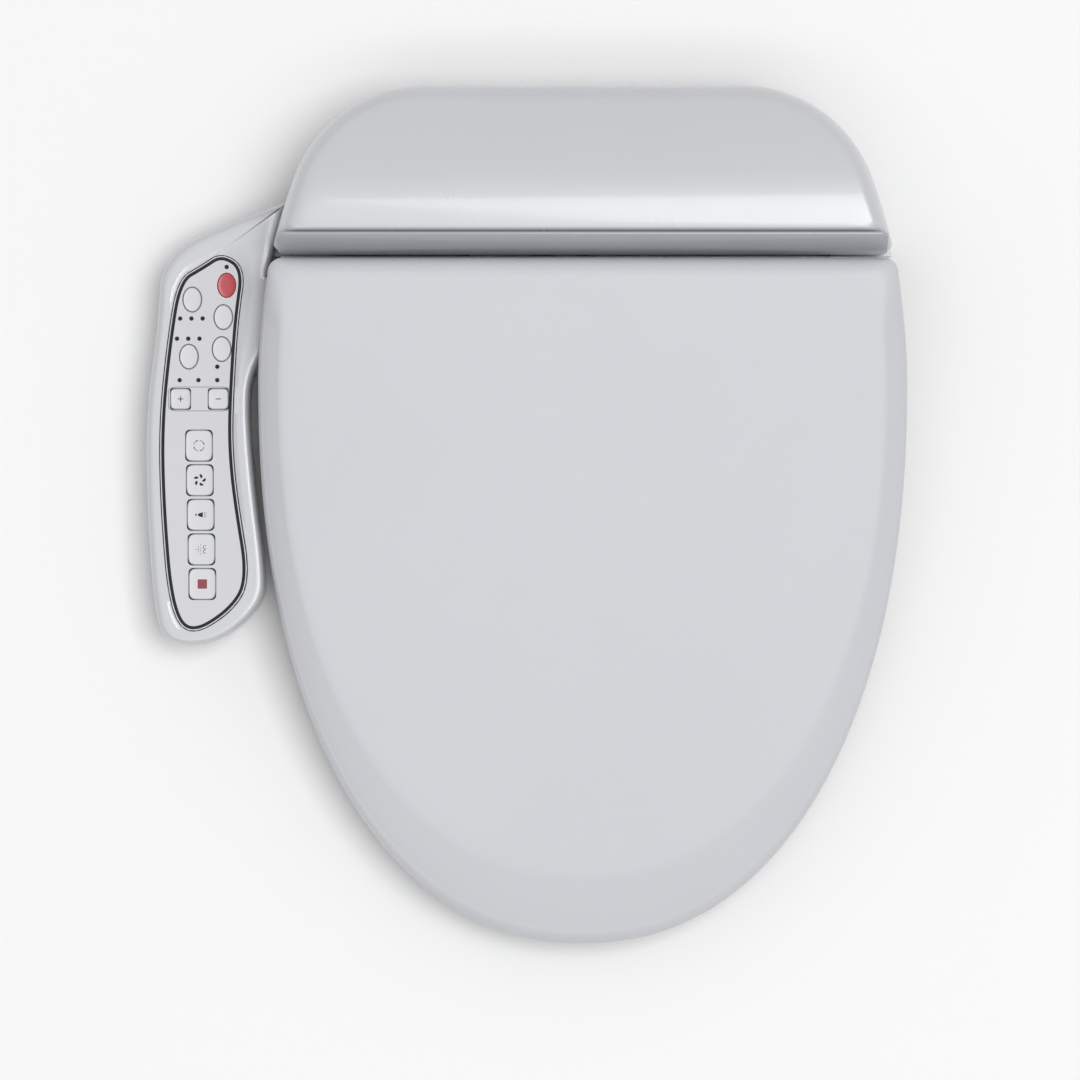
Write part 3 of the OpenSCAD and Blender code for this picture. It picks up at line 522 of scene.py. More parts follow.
@dataclass
class Lid:
    """The lid: a thin shell with a rolled rear lip, a sloping band and a slightly crowned top.

    Attributes:
        plan: the object's outlines.
        hinge: the axis it turns on.
        lip: radius of the rolled rear lip.
        lip_power: power of the lip's quarter round, under 1 for a squarer turn.
        wall: wall thickness.
        fall: fall of its top for each metre forward.
        edge_side: height of its lower edge where the sides start.
        band_side: width of the sloping band at the widest line.
        band_tip: width of the band at the front tip.
        crown: rise of the top's middle.
        turn_y: where the sides begin to turn up to the lip.
        turn_run: length over which their section changes to the lip's.
        corner: radius of the rear corners.
        crease_corner: radius of the crease's rear corners.
        inner_gain: how much thinner the wall is at the rear edge.
    """

    plan: Plan
    hinge: Hinge
    lip: float = 14 * MM
    lip_power: float = 0.7
    wall: float = 3 * MM
    fall: float = 0.108
    edge_side: float = 60 * MM
    band_side: float = 13.5 * MM
    band_tip: float = 41 * MM
    crown: float = 1.5 * MM
    turn_y: float = -90 * MM
    turn_run: float = 34 * MM
    corner: float = 9 * MM
    crease_corner: float = 14 * MM
    inner_gain: float = 0.5 * MM
    rear: float = field(init=False)
    tip_z: float = field(init=False)

    def __post_init__(self) -> None:
        """Take the rear edge and the lowest edge from the frame."""
        low, high = edges("lid_shell")
        self.rear = float(high[1])
        self.tip_z = float(low[2])

    def top(self, y: Array) -> Array:
        """Height of the top at y: a plane that falls forward from the lip."""
        return self.hinge.z + self.lip + self.fall * (y - self.hinge.y)

    def edge(self, y: Array) -> Array:
        """Height of the lower edge at y: an even fall along the sides, and an eased rise to the lip."""
        start = self.turn_y
        along = self.edge_side + (self.tip_z - self.edge_side) * (y - start) / (-self.plan.front - start)
        share = smoothstep((y - start) / (self.rear - start))
        rise = self.edge_side + (self.hinge.z - self.edge_side) * share
        return np.where(y < start, along, rise)

    def side_law(self, t: Array) -> tuple[Array, Array]:
        """Section of the sides, as shares of the band's width and of its height.

        A short upright skirt turns over a rounded shoulder on to a nearly straight slope up to the crease.
        """
        a = np.clip(t / 0.45, 0, 1) * math.pi / 2
        b = np.clip((t - 0.45) / 0.55, 0, 1)
        return 0.22 * (1 - np.cos(a)) + 0.78 * b ** 1.08, 0.62 * np.sin(a) + 0.38 * b ** 0.9

    def rings(self, t: Array, wall: float, back: float) -> Array:
        """Rings from the lower edge, t = 0, up to the crease, t = 1.

        Each ring lies between the outline and the crease line. At the rear the shares are a quarter
        superellipse's, and along the sides they are the side law's, with an eased change between them.

        Args:
            t: shares of the way up.
            wall: how far the skin lies inside the outer one.
            back: how far its rear edge lies inside.
        Returns:
            Points, shape (len(t), n, 3).
        """
        outer = self.plan.seat(self.rear - back, wall, wall, self.corner)
        side, tip = self.band_side + wall, self.band_tip + wall
        crease = self.plan.seat(self.hinge.y, side, tip, self.crease_corner)
        w = smoothstep((outer[:, 1] - self.turn_y) / self.turn_run)[None]
        fx, fz = self.side_law(t[:, None])
        turn = t[:, None] * math.pi / 2
        fx = w * (1 - np.cos(turn) ** self.lip_power) + (1 - w) * fx
        fz = w * np.sin(turn) ** self.lip_power + (1 - w) * fz
        flat = outer[None] + (crease - outer)[None] * fx[..., None]
        low = self.edge(outer[:, 1])[None]
        high = self.top(crease[:, 1])[None] - wall
        return np.concatenate([flat, (low + (high - low) * fz)[..., None]], -1)

    def crowned(self, ring: Array, wall: float, shares: Array) -> Array:
        """Rings from the crease in to the middle: the crease line shrunk, and raised in a parabola."""
        centre = np.array([0, 0.5 * (ring[:, 1].min() + ring[:, 1].max())])
        flat = centre + (ring[None, :, :2] - centre) * shares[:, None, None]
        rise = self.crown * (1 - shares[:, None] ** 2)
        return np.concatenate([flat, (self.top(flat[..., 1]) - wall + rise)[..., None]], -1)

    def build(self) -> None:
        """Build and dress the shell: inner skin, lower edge and outer skin in one stack of rings."""
        t = np.linspace(0, 1, 41)
        inward = np.linspace(1, 0.02, 30)[1:]
        outer = self.rings(t, 0.0, 0.0)
        outer = np.concatenate([outer, self.crowned(outer[-1], 0.0, inward)])
        inner = self.rings(t[::2], self.wall, self.wall - self.inner_gain)
        inner = np.concatenate([inner, self.crowned(inner[-1], self.wall, inward[::2])])
        lip = 0.5 * (outer[:1] + inner[:1])
        outer = soften_profile(outer, 2)
        rings = np.concatenate([inner[::-1], lip, outer])
        shell = skin("lid_shell_smooth", rings, Ends.POLES)
        dress(shell, WHITE_LID, "lid", "white_lid", "lid_shell")


# ---------------------------------------------------------------- seat ring

@dataclass
class SeatRing:
    """The seat ring: a hollow loop with a crowned top, in an upper shell and a base that close on a seam.

    Attributes:
        plan: the object's outlines.
        fall: fall of the ring for each metre forward.
        thick: full thickness.
        base: thickness of the base.
        side_w: width of each side.
        front_w: width at the front.
        rear_w: width of the rear bridge.
        round: radius of the long edges.
        corner: radius of the rear corners.
        squareness: power of the opening's superellipse, under 1 for a squarer one.
        margin: how far the upper shell overhangs the base.
        flat_from: how far in from each edge the level part has its points, which cross where the ring is
            narrower than twice this.
        base_edge: radius of the base's lower edges.
        over_heater: height of the top above the heater, just behind the heater.
        behind_heater: how far behind the heater that height is taken.
    """

    plan: Plan
    fall: float = 0.055
    thick: float = 24 * MM
    base: float = 3 * MM
    side_w: float = 74 * MM
    front_w: float = 56 * MM
    rear_w: float = 36 * MM
    round: float = 9 * MM
    corner: float = 14 * MM
    squareness: float = 0.85
    margin: float = 0.4 * MM
    flat_from: float = 24 * MM
    base_edge: float = 1.2 * MM
    over_heater: float = 3.1 * MM
    behind_heater: float = 7 * MM

    def loops(self, count: int = 288, fine: int = 4000) -> tuple[Array, Array]:
        """Outer outline and opening, matched by the direction they are seen in from the opening's middle.

        Args:
            count: points in each.
            fine: points in the outlines that they are sampled from.
        Returns:
            The two closed outlines.
        """
        low, high = edges("seat_ring_base")
        d = self.plan.half_w - float(high[0]) - self.margin
        e = self.plan.front + float(low[1]) - self.margin
        outer = resample(self.plan.seat(float(high[1]) + self.margin, d, e, self.corner), fine)
        y0 = float(low[1]) - self.margin + self.front_w
        y1 = float(high[1]) + self.margin - self.rear_w
        cy, b = 0.5 * (y0 + y1), 0.5 * (y1 - y0)
        t = np.linspace(0, 2 * math.pi, fine, endpoint=False)
        half = self.plan.half_w - d - self.side_w
        hole = np.column_stack([half * signed_power(np.cos(t), self.squareness),
                                cy + b * signed_power(np.sin(t), self.squareness)])
        at = np.linspace(-math.pi, math.pi, count, endpoint=False)

        def by_angle(points: Array) -> Array:
            """Sample an outline's distance from the middle at even angles."""
            arm = points - [0, cy]
            angle = np.arctan2(arm[:, 1], arm[:, 0])
            order = np.argsort(angle)
            reach = np.interp(at, angle[order], np.linalg.norm(arm, axis=1)[order], period=2 * math.pi)
            return np.column_stack([reach * np.cos(at), cy + reach * np.sin(at)])

        return by_angle(outer), by_angle(hole)

    def top(self, y: Array) -> Array:
        """Height of the ring's top plane at y."""
        _, high = edges("seat_heater")
        return float(high[2]) + self.over_heater + self.fall * (y - float(high[1]) - self.behind_heater)

    def section(self, half: Array) -> Array:
        """Carry a section round the ring: the half given at the outer edge, then its mirror at the opening.

        Args:
            half: pairs of distance in from an edge and depth below the top plane, from the bottom up.
        Returns:
            Rings, shape (twice the pairs, n, 3).
        """
        outer, hole = self.loops()
        span = hole - outer
        way = span / np.linalg.norm(span, axis=1, keepdims=True)
        near = outer[None] + way[None] * half[:, 0, None, None]
        far = hole[None] - way[None] * half[::-1, 0, None, None]
        flat = np.concatenate([near, far])
        depth = np.concatenate([half[:, 1], half[::-1, 1]])
        return np.concatenate([flat, (self.top(flat[..., 1]) - depth[:, None])[..., None]], -1)

    def build(self) -> None:
        """Build the upper shell and the base that closes it on a seam."""
        seam = self.thick - self.base
        step = 0.8 * MM
        half = np.vstack([[step, seam], [0, seam - step], round_edge(self.round, 10), [self.flat_from, 0]])
        shell = skin("seat_ring_shell", self.section(half), Ends.LOOP)
        dress(shell, WHITE_RING, "seat", "white_ring")
        bend = [(self.margin + d, self.thick - rise) for rise, d in round_edge(self.base_edge, 6)]
        half = np.vstack([bend, [self.margin, seam + 0.2 * MM]])
        base = skin("seat_ring_under", self.section(half), Ends.LOOP)
        dress(base, WHITE_RING, "seat", "white_ring", "seat_ring_base")


# ---------------------------------------------------------------- moulded CAD pieces with softened edges

@dataclass
class Softened:
    """A CAD node's own shape with its moulded edges rounded, standing for that node.

    Attributes:
        node: the CAD node.
        finish: the finish it gets.
        body: the body it rides on.
        slot: its material slot.
        radius: radius of the edges.
        sharp_deg: edges over this angle are rounded.
    """

    node: str
    finish: Finish
    body: str
    slot: str
    radius: float = 0.6 * MM
    sharp_deg: float = 32.0

    def build(self) -> None:
        """Copy the node's mesh, merge its doubles, join its flat faces and bevel the edges left."""
        source = frame["nodes"][self.node]
        piece = bpy.data.objects.new(self.node + "_moulded", source.data.copy())
        bpy.context.scene.collection.objects.link(piece)
        merge_flat(piece.data, self.sharp_deg)
        bevel = piece.modifiers.new("edge", "BEVEL")
        bevel.width = self.radius
        bevel.segments = 2
        bevel.limit_method = "ANGLE"
        bevel.angle_limit = math.radians(self.sharp_deg)
        bevel.use_clamp_overlap = True
        bevel.harden_normals = False
        dress(piece, self.finish, self.body, self.slot, self.node)


def merge_flat(mesh: bpy.types.Mesh, sharp_deg: float) -> None:
    """Merge a mesh's doubled points and dissolve the seams inside its flat faces.

    Args:
        mesh: the mesh, changed in place.
        sharp_deg: edges over this angle stay sharp.
    """
    work = bmesh.new()
    work.from_mesh(mesh)
    bmesh.ops.remove_doubles(work, verts=work.verts, dist=0.002 * MM)
    bmesh.ops.dissolve_limit(work, angle_limit=math.radians(1.0), verts=work.verts, edges=work.edges)
    work.to_mesh(mesh)
    work.free()
    mesh.shade_smooth()
    mesh.set_sharp_from_angle(angle=math.radians(sharp_deg))


# ---------------------------------------------------------------- housing

@dataclass
class Housing:
    """The rear housing's cover and its steep strip, whose grey is partly painted shade.

    Attributes:
        plan: the object's outlines.
        wall: wall of the shells.
        rim: width of the rounded rim round the cover's top.
        strip_z: height where the steep strip starts.
        strip_run: run of the strip, front to back.
        strip_t: thickness of the strip.
        seam: height of the line where cover and tray meet.
        fall: fall of the cover's top toward the back, for each metre.
        bow: share of that fall that grows toward the back, which bends the top.
        roll: width of the soft roll behind the ridge.
        roll_drop: how far that roll drops.
        strip_gap: gap between the strip and the cover.
        strip_side: how far each end of the strip stops short of the CAD's.
        strip_corner: radius of the strip's four corners.
        strip_edge: radius of the strip's outer edges.
        notch_half: half width of the step in the cover's lower edge.
        notch_run: how far back from the strip's foot that step goes.
        notch_z: height of the step.
    """

    plan: Plan
    wall: float = 2.5 * MM
    rim: float = 9 * MM
    strip_z: float = 84 * MM
    strip_run: float = 12.5 * MM
    strip_t: float = 2 * MM
    seam: float = 34 * MM
    fall: float = 0.2
    bow: float = 0.6
    roll: float = 34 * MM
    roll_drop: float = 2.0 * MM
    strip_gap: float = 0.8 * MM
    strip_side: float = 1.2 * MM
    strip_corner: float = 5 * MM
    strip_edge: float = 0.7 * MM
    notch_half: float = 150 * MM
    notch_run: float = 10 * MM
    notch_z: float = 58 * MM
    trough: float = field(init=False)
    ridge_z: float = field(init=False)

    def __post_init__(self) -> None:
        """Take the strip's place and the ridge's height from the frame."""
        self.trough = float(edges("hinge_trim")[0][1])
        self.ridge_z = float(edges("rear_cover")[1][2])

    def top(self, y: Array) -> Array:
        """Height of the cover's top at y.

        It falls toward the back from the ridge, bent over by the bow share, and rolls over at the ridge.
        """
        run = y - (self.trough + self.strip_run + self.strip_t + self.strip_gap)
        length = self.plan.back - (self.trough + self.strip_run)
        roll = self.roll_drop * np.clip(1 - run / self.roll, 0, 1) ** 2
        return self.ridge_z - self.fall * run * (1 - self.bow + self.bow * run / length) - roll

    def ring(self, f: float, d: float) -> Array:
        """One ring of the cover above the strip's foot.

        Sides and back follow a quarter ellipse, the rim wide and as tall as the top is above the foot. The
        front leans back with the strip.

        Args:
            f: share of the quarter turn, 0 at the foot and 1 at the top.
            d: how far the skin lies inside the outer one.
        Returns:
            Points, shape (n, 3).
        """
        fx, fz = 1 - math.cos(f * math.pi / 2), math.sin(f * math.pi / 2)
        y0 = self.trough + self.strip_t + self.strip_gap + d + self.strip_run * fz
        flat = self.plan.housing(y0, d + self.rim * fx)
        return lift(flat, self.strip_z + (self.top(flat[:, 1]) - d - self.strip_z) * fz)

    def inward(self, ring: Array, d: float, shares: Array) -> Array:
        """Rings from the rim in to the middle of the top, on the falling plane."""
        middle = np.array([0, 0.5 * (ring[:, 1].min() + ring[:, 1].max())])
        flat = middle + (ring[None, :, :2] - middle) * shares[:, None, None]
        return np.concatenate([flat, (self.top(flat[..., 1]) - d)[..., None]], -1)

    def cover(self) -> bpy.types.Object:
        """The rear cover, with a rounded ridge over the strip and a step in its lower edge."""
        f = np.linspace(0, 1, 29)
        shares = np.linspace(1, 0.02, 34)[1:]
        y0 = self.trough + self.strip_t + self.strip_gap
        foot = self.plan.housing(y0, 0.0)
        notch = (np.abs(foot[:, 0]) < self.notch_half) & (foot[:, 1] < self.trough + self.notch_run)
        base_z = np.where(notch, self.notch_z, self.seam)
        outer = np.array([self.ring(v, 0.0) for v in f])
        outer = soften_profile(np.concatenate([outer, self.inward(outer[-1], 0.0, shares)]), 9)
        inner = np.array([self.ring(v, self.wall) for v in f[::2]])
        inner = np.concatenate([inner, self.inward(inner[-1], self.wall, shares[::2])])
        thin = self.plan.housing(y0 + self.wall, self.wall)
        rings = np.concatenate([inner[::-1], [lift(thin, base_z)], [lift(foot, base_z)], outer])
        return skin("rear_cover_shell", rings, Ends.POLES, sharp_deg=50)

    def strip(self) -> bpy.types.Object:
        """The steep strip, its grey partly painted shade of the face between cover and lid: a flat bar with
        round ends and rounded edges, carried up its slope.

        The bar's outline is a rounded rectangle in the slope's own plane, and its section a quarter round.
        """
        low, high = edges("hinge_trim")
        z0, z1 = float(low[2]), float(high[2])
        slope = np.array([0, self.strip_run, z1 - z0])
        up = slope / np.linalg.norm(slope)
        length = np.linalg.norm(slope) - self.roll_drop - self.strip_gap
        out = np.array([0, -up[2], up[1]])
        half, r, edge = float(high[0]) - self.strip_side, self.strip_corner, self.strip_edge
        t = np.linspace(0, math.pi / 2, 9)
        flat = self.plan.both(np.vstack([
            np.column_stack([half - r + r * np.sin(t), r - r * np.cos(t)]),
            np.column_stack([half - r + r * np.cos(t), length - r + r * np.sin(t)])]))
        start = np.array([0, self.trough, z0])

        def at(d: float, proud: float) -> Array:
            """The bar's outline moved in by d and out of the slope by proud."""
            p = inset(flat, d)
            return start + p[:, :1] * [1, 0, 0] + p[:, 1:] * up + out * (proud - edge)

        rings = [at(0.0, edge - self.strip_t * 0.8)]
        rings += [at(d, edge - short) for d, short in round_edge(edge, 5)]
        return skin("hinge_strip", np.array(rings), Ends.POLES)

    def build(self) -> None:
        """Build and dress the housing's shells."""
        dress(self.cover(), WHITE_SHELL, "housing", "white_shell", "rear_cover")
        # The strip's grey is partly painted shade for the steep face in the trough behind the lid.
        dress(self.strip(), GREY_TRIM_PAINTED_SHADE, "housing", "grey_trim", "hinge_trim")


# ---------------------------------------------------------------- control arm

class Glyph(Enum):
    """Generic picture printed on a key."""

    NONE = "plain"
    CYCLE = "broken circle of arrows"
    FAN = "five-bladed fan"
    CONE = "cone that opens on two rows of dots"
    BENDS = "rows of dots with a bend on each side"
    STOP = "filled square"
    PLUS = "plus sign"
    MINUS = "minus sign"


def disc(x: float, y: float, r: float, count: int = 32) -> Array:
    """Outline of a circle."""
    t = np.linspace(0, 2 * math.pi, count, endpoint=False)
    return np.column_stack([x + r * np.cos(t), y + r * np.sin(t)])


def bar(x0: float, y0: float, x1: float, y1: float, w: float) -> Array:
    """Outline of a straight stroke of width w with square ends."""
    along = np.array([x1 - x0, y1 - y0])
    side = np.array([along[1], -along[0]]) / np.linalg.norm(along) * w / 2
    return np.array([[x0, y0] + side, [x1, y1] + side, [x1, y1] - side, [x0, y0] - side])


def arc_band(r: float, w: float, start: float, stop: float) -> Array:
    """Outline of a stroke of width w along an arc, angles in radians."""
    t = np.linspace(start, stop, 14)
    spoke = np.column_stack([np.cos(t), np.sin(t)])
    return np.vstack([spoke * (r + w / 2), spoke[::-1] * (r - w / 2)])


def turned(points: Array, angle: float) -> Array:
    """Turn an outline about the origin."""
    c, s = math.cos(angle), math.sin(angle)
    return points @ np.array([[c, s], [-s, c]])


def strokes(glyph: Glyph) -> list[Array]:
    """The outlines that make a picture, in millimetres about the key's middle.

    Args:
        glyph: which picture.
    Returns:
        Anticlockwise outlines.
    """
    fifth = 2 * math.pi / 5
    if glyph is Glyph.CYCLE:
        arcs = [arc_band(3.1, 0.3, k * math.pi / 2 + 0.14, k * math.pi / 2 + 1.4) for k in range(4)]
        head = np.array([[0.62, 0.0], [-0.35, 0.5], [-0.35, -0.5]])
        tip = turned(head, math.pi / 2) + [3.1, 0.0]
        return arcs + [turned(tip, k * math.pi / 2 + 0.5) for k in range(4)]
    if glyph is Glyph.FAN:
        t = np.linspace(0, 2 * math.pi, 22, endpoint=False)
        blade = turned(np.column_stack([1.3 * np.cos(t), 0.72 * np.sin(t) + 0.3 * np.cos(t) ** 2]), 0.75)
        return [turned(blade + [2.65, 0.0], k * fifth) for k in range(5)]
    if glyph is Glyph.CONE:
        cone = np.array([[-1.5, -0.7], [1.3, -1.55], [1.3, 1.55], [-1.5, 0.7]])
        jets = [disc(x, y, r, 14) for x, r in ((2.2, 0.3), (3.2, 0.24)) for y in (-1.2, 0.0, 1.2)]
        return [cone, disc(-2.7, 0.0, 0.55, 20)] + jets
    if glyph is Glyph.BENDS:
        bends = [arc_band(1.0, 0.34, 1.2, 5.1) + [2.1, y] for y in (-1.25, 1.25)]
        rows = {-2.9: (0,), -1.7: (-1.5, 0, 1.5), -0.4: (-2.6, -0.8, 0.8, 2.6)}
        return bends + [disc(x, y, 0.27, 14) for x, row in rows.items() for y in row]
    if glyph is Glyph.STOP:
        return [np.array([[-2.8, -2.8], [2.8, -2.8], [2.8, 2.8], [-2.8, 2.8]])]
    if glyph is Glyph.PLUS:
        return [bar(-1.6, 0, 1.6, 0, 0.5), bar(0, -1.6, 0, -0.25, 0.5), bar(0, 0.25, 0, 1.6, 0.5)]
    if glyph is Glyph.MINUS:
        return [bar(-1.6, 0, 1.6, 0, 0.5)]
    return []


def printed(name: str, outlines: list[Array], z: float, thick: float) -> bpy.types.Object:
    """Raise flat outlines into one thin printed layer, each a closed plate.

    Args:
        name: the object's name.
        outlines: closed outlines in metres.
        z: height of the layer's underside.
        thick: its thickness.
    Returns:
        The new object.
    """
    verts, faces, start = [], [], 0
    for points in outlines:
        turn = np.sum(points[:, 0] * np.roll(points[:, 1], -1) - np.roll(points[:, 0], -1) * points[:, 1])
        points = points if turn > 0 else points[::-1]
        n = len(points)
        verts += [lift(points, z), lift(points, z + thick)]
        low = start + np.arange(n)
        high = low + n
        faces += np.stack([low, np.roll(low, -1), np.roll(high, -1), high], 1).tolist()
        faces += [low[::-1].tolist(), high.tolist()]
        start += 2 * n
    return as_object(name, np.vstack(verts), faces, 30)


def band_print(name: str, outline: Array, width: float, z: float, thick: float) -> bpy.types.Object:
    """A printed line of even width along the inside of an outline, as a ring of rectangular section."""
    inner = inset(outline, width)
    rings = np.array([lift(outline, z), lift(outline, z + thick), lift(inner, z + thick), lift(inner, z)])
    return skin(name, rings, Ends.LOOP, sharp_deg=30)


@dataclass
class Key:
    """One key: a slightly dished cap with a rounded edge, a printed rim and a picture.

    Attributes:
        node: its CAD node, which is also its body.
        glyph: the picture on it.
        oval: whether it is an oval.
        rim: finish of the line round it, or none.
        flange: how many times wider than the cap its hidden flange is.
        edge: radius of the cap's upper edge.
        skirt: height of the cap's foot above its flange's underside.
        dish: how far the cap's face dips to its middle.
        ink: thickness of the print.
    """

    node: str
    glyph: Glyph
    oval: bool
    rim: Finish | None = None
    flange: float = 1.085
    edge: float = 0.35 * MM
    skirt: float = 2.8 * MM
    dish: float = 0.12 * MM
    ink: float = 0.04 * MM

    def outline(self, count: int = 64) -> Array:
        """The cap's outline from the CAD key's box: an ellipse, or a nearly square superellipse."""
        low, high = edges(self.node)
        mid = 0.5 * (low + high)
        half = 0.5 * (high - low) / self.flange
        t = np.linspace(0, 2 * math.pi, count, endpoint=False)
        k = 1.0 if self.oval else 0.42
        return np.column_stack([mid[0] + half[0] * signed_power(np.cos(t), k),
                                mid[1] + half[1] * signed_power(np.sin(t), k)])

    def build(self) -> None:
        """Build the cap, its rim and its picture."""
        low, high = edges(self.node)
        top = float(high[2])
        red = self.node == "power_key"
        outline = self.outline()
        rings = [lift(outline, low[2] + self.skirt)]
        rings += [lift(inset(outline, d), top - short) for d, short in round_edge(self.edge, 5)]
        middle = outline.mean(0)
        face = inset(outline, self.edge)
        rings += [lift(middle + (face - middle) * s, top - self.dish * (1 - s ** 6))
                  for s in (0.96, 0.9, 0.8, 0.5)]
        cap = skin(self.node + "_cap", np.array(rings), Ends.POLES)
        dress(cap, RED_KEY if red else WHITE_KEY, self.node, "red_key" if red else "white_key", self.node)
        if self.rim:
            path = inset(outline, 0.15 * MM)
            line = band_print(self.node + "_rim", path, 0.32 * MM, top - 0.02 * MM, self.ink)
            dress(line, self.rim, self.node, "black_print")
        shapes = [middle + s * MM for s in strokes(self.glyph)]
        if shapes:
            layer = printed(self.node + "_picture", shapes, top - 0.125 * MM, self.ink)
            dress(layer, RED_PRINT if self.glyph is Glyph.STOP else BLACK_PRINT, self.node, "black_print")


KEYS: tuple[Key, ...] = (
    Key("power_key", Glyph.NONE, True), Key("water_temp_key", Glyph.NONE, True, DARK_PRINT),
    Key("seat_temp_key", Glyph.NONE, True, DARK_PRINT), Key("pressure_key", Glyph.NONE, True, DARK_PRINT),
    Key("position_key", Glyph.NONE, True, DARK_PRINT), Key("plus_key", Glyph.PLUS, False, GREY_PRINT),
    Key("minus_key", Glyph.MINUS, False, GREY_PRINT), Key("auto_key", Glyph.CYCLE, False, GREY_PRINT),
    Key("dry_key", Glyph.FAN, False, GREY_PRINT), Key("bidet_key", Glyph.CONE, False, GREY_PRINT),
    Key("clean_key", Glyph.BENDS, False, GREY_PRINT), Key("stop_key", Glyph.STOP, False, GREY_PRINT),
)


@dataclass
class ControlArm:
    """The side arm: two shell halves on a seam, a printed panel film, its keys and its lamps.

    Attributes:
        plan: the object's outlines.
        wall: wall of the shells.
        bevel: width of the rounded shoulder round the top.
        drop: height of that shoulder.
        edge: radius of the lower edge.
        housing_gap: gap to the housing.
        ring_gap: gap to the seat ring.
        ring_from: where the arm is held clear of the ring in place of the housing.
        panel_gap: gap round the panel.
        panel_depth: how deep the upper shell's opening for the panel goes.
    """

    plan: Plan
    wall: float = 2.5 * MM
    bevel: float = 3.2 * MM
    drop: float = 8 * MM
    edge: float = 3 * MM
    housing_gap: float = 0.3 * MM
    ring_gap: float = 1.5 * MM
    ring_from: float = -64 * MM
    panel_gap: float = 0.6 * MM
    panel_depth: float = 2.5 * MM

    def free(self) -> Array:
        """The arm's outline before it is held clear of its neighbours: corners, smoothed by cutting."""
        corners = np.array([
            [28, -14], [-2, -24], [-58, -48], [-60, -90], [-67, -140], [-67, -190],
            [-63, -258], [-56, -282], [-24, -282], [3, -258], [4, -236],
            [-2, -190], [-6, -142], [-4, -120], [8, -100], [26, -60]]) * MM
        return cut_corners(corners + [-self.plan.half_w, 0])

    def panel(self) -> Array:
        """Outline of the printed panel, smoothed from its corners."""
        corners = np.array([
            [-22, -48], [-34, -56], [-48, -64], [-54, -100], [-59, -150], [-58, -200],
            [-53, -260], [-41, -277], [-16, -262], [-5, -243], [-12, -200],
            [-15, -175], [-16, -150], [-14, -110], [-12, -85], [-8, -57]]) * MM
        return cut_corners(corners + [-self.plan.half_w, 0])

    def outline(self, d: float) -> Array:
        """The arm's outline moved in by d and held clear of the housing and of the seat ring.

        Args:
            d: how far in.
        Returns:
            The outline, anticlockwise.
        """
        p = inset(self.free(), d)
        _, ring = edges("seat_ring_top")
        step = self.plan.half_w - float(ring[0])
        y = p[:, 1]
        beside_housing = -self.plan.side_x(np.maximum(y, -60 * MM)) - self.housing_gap
        beside_ring = -np.where(y > -self.plan.wide, self.plan.side_x(np.maximum(y, -self.plan.wide), step),
                                self.plan.front_x(y, step)) - self.ring_gap
        limit = np.where(y > self.ring_from, beside_housing, beside_ring)
        return np.column_stack([np.minimum(p[:, 0], limit - d), y])

    def shells(self) -> None:
        """Build both shells: walls with rounded edges, the upper one open for the panel."""
        low, edge_z = edges("arm_lower_case")
        _, high = edges("arm_upper_case")
        seam = float(edge_z[2])
        z0, top = float(low[2]), float(high[2])
        foot = [lift(self.outline(d), z0 + rise) for rise, d in round_edge(self.edge, 7)]
        rim = ((0, seam - 0.5 * MM), (0.5 * MM, seam - 0.1 * MM), (self.wall, seam - 0.1 * MM),
               (self.wall, z0 + self.wall))
        lower = foot + [lift(self.outline(d), z) for d, z in rim]
        middle = self.outline(0).mean(0)
        poles = (np.array([*middle, z0]), np.array([*middle, z0 + self.wall]))
        piece = skin("arm_lower_shell", np.array(lower), Ends.POLES, poles)
        dress(piece, WHITE_SHELL, "housing", "white_shell", "arm_lower_case")
        panel = inset(self.panel(), -self.panel_gap)
        shoulder = [lift(self.outline(self.bevel * d), top - self.drop * short)
                    for d, short in round_edge(1.0, 12)]
        crest = shoulder[-1][:, :2]
        across = [lift(crest + (panel - crest) * s, top) for s in (0.25, 0.6, 0.94)]
        upper = [lift(self.outline(0.5 * MM), seam + 0.1 * MM), lift(self.outline(0), seam + 0.6 * MM)]
        upper += shoulder + across + [lift(panel, top - 0.3 * MM), lift(panel, top - self.panel_depth),
                                      lift(self.outline(self.wall + 1 * MM), top - self.panel_depth),
                                      lift(self.outline(self.wall), seam + 0.1 * MM)]
        piece = skin("arm_upper_shell", np.array(upper), Ends.LOOP)
        dress(piece, WHITE_SHELL, "housing", "white_shell", "arm_upper_case")

    def prints(self) -> None:
        """Build the black border line and the frame round the two step keys."""
        _, film = edges("control_overlay")
        z = float(film[2])
        line = band_print("panel_border", inset(self.panel(), 0.6 * MM), 1.9 * MM, z - 0.02 * MM, 0.12 * MM)
        dress(line, BLACK_PRINT, "housing", "black_print", "overlay_line")
        (a, _), (_, b) = edges("plus_key"), edges("minus_key")
        mid, half = 0.5 * (a + b), 0.5 * (b - a) + [0.9 * MM, 0.6 * MM, 0]
        t = np.linspace(0, 2 * math.pi, 96, endpoint=False)
        frame_line = np.column_stack([mid[0] + half[0] * signed_power(np.cos(t), 0.2),
                                      mid[1] + half[1] * signed_power(np.sin(t), 0.28)])
        line = band_print("step_key_frame", frame_line, 0.45 * MM, z - 0.02 * MM, 0.06 * MM)
        dress(line, GREY_PRINT, "housing", "black_print")

    def build(self) -> None:
        """Build and dress the whole arm with its keys."""
        self.shells()
        self.prints()
        for key in KEYS:
            key.build()


# ---------------------------------------------------------------- eyes, arms and the rest of the frame

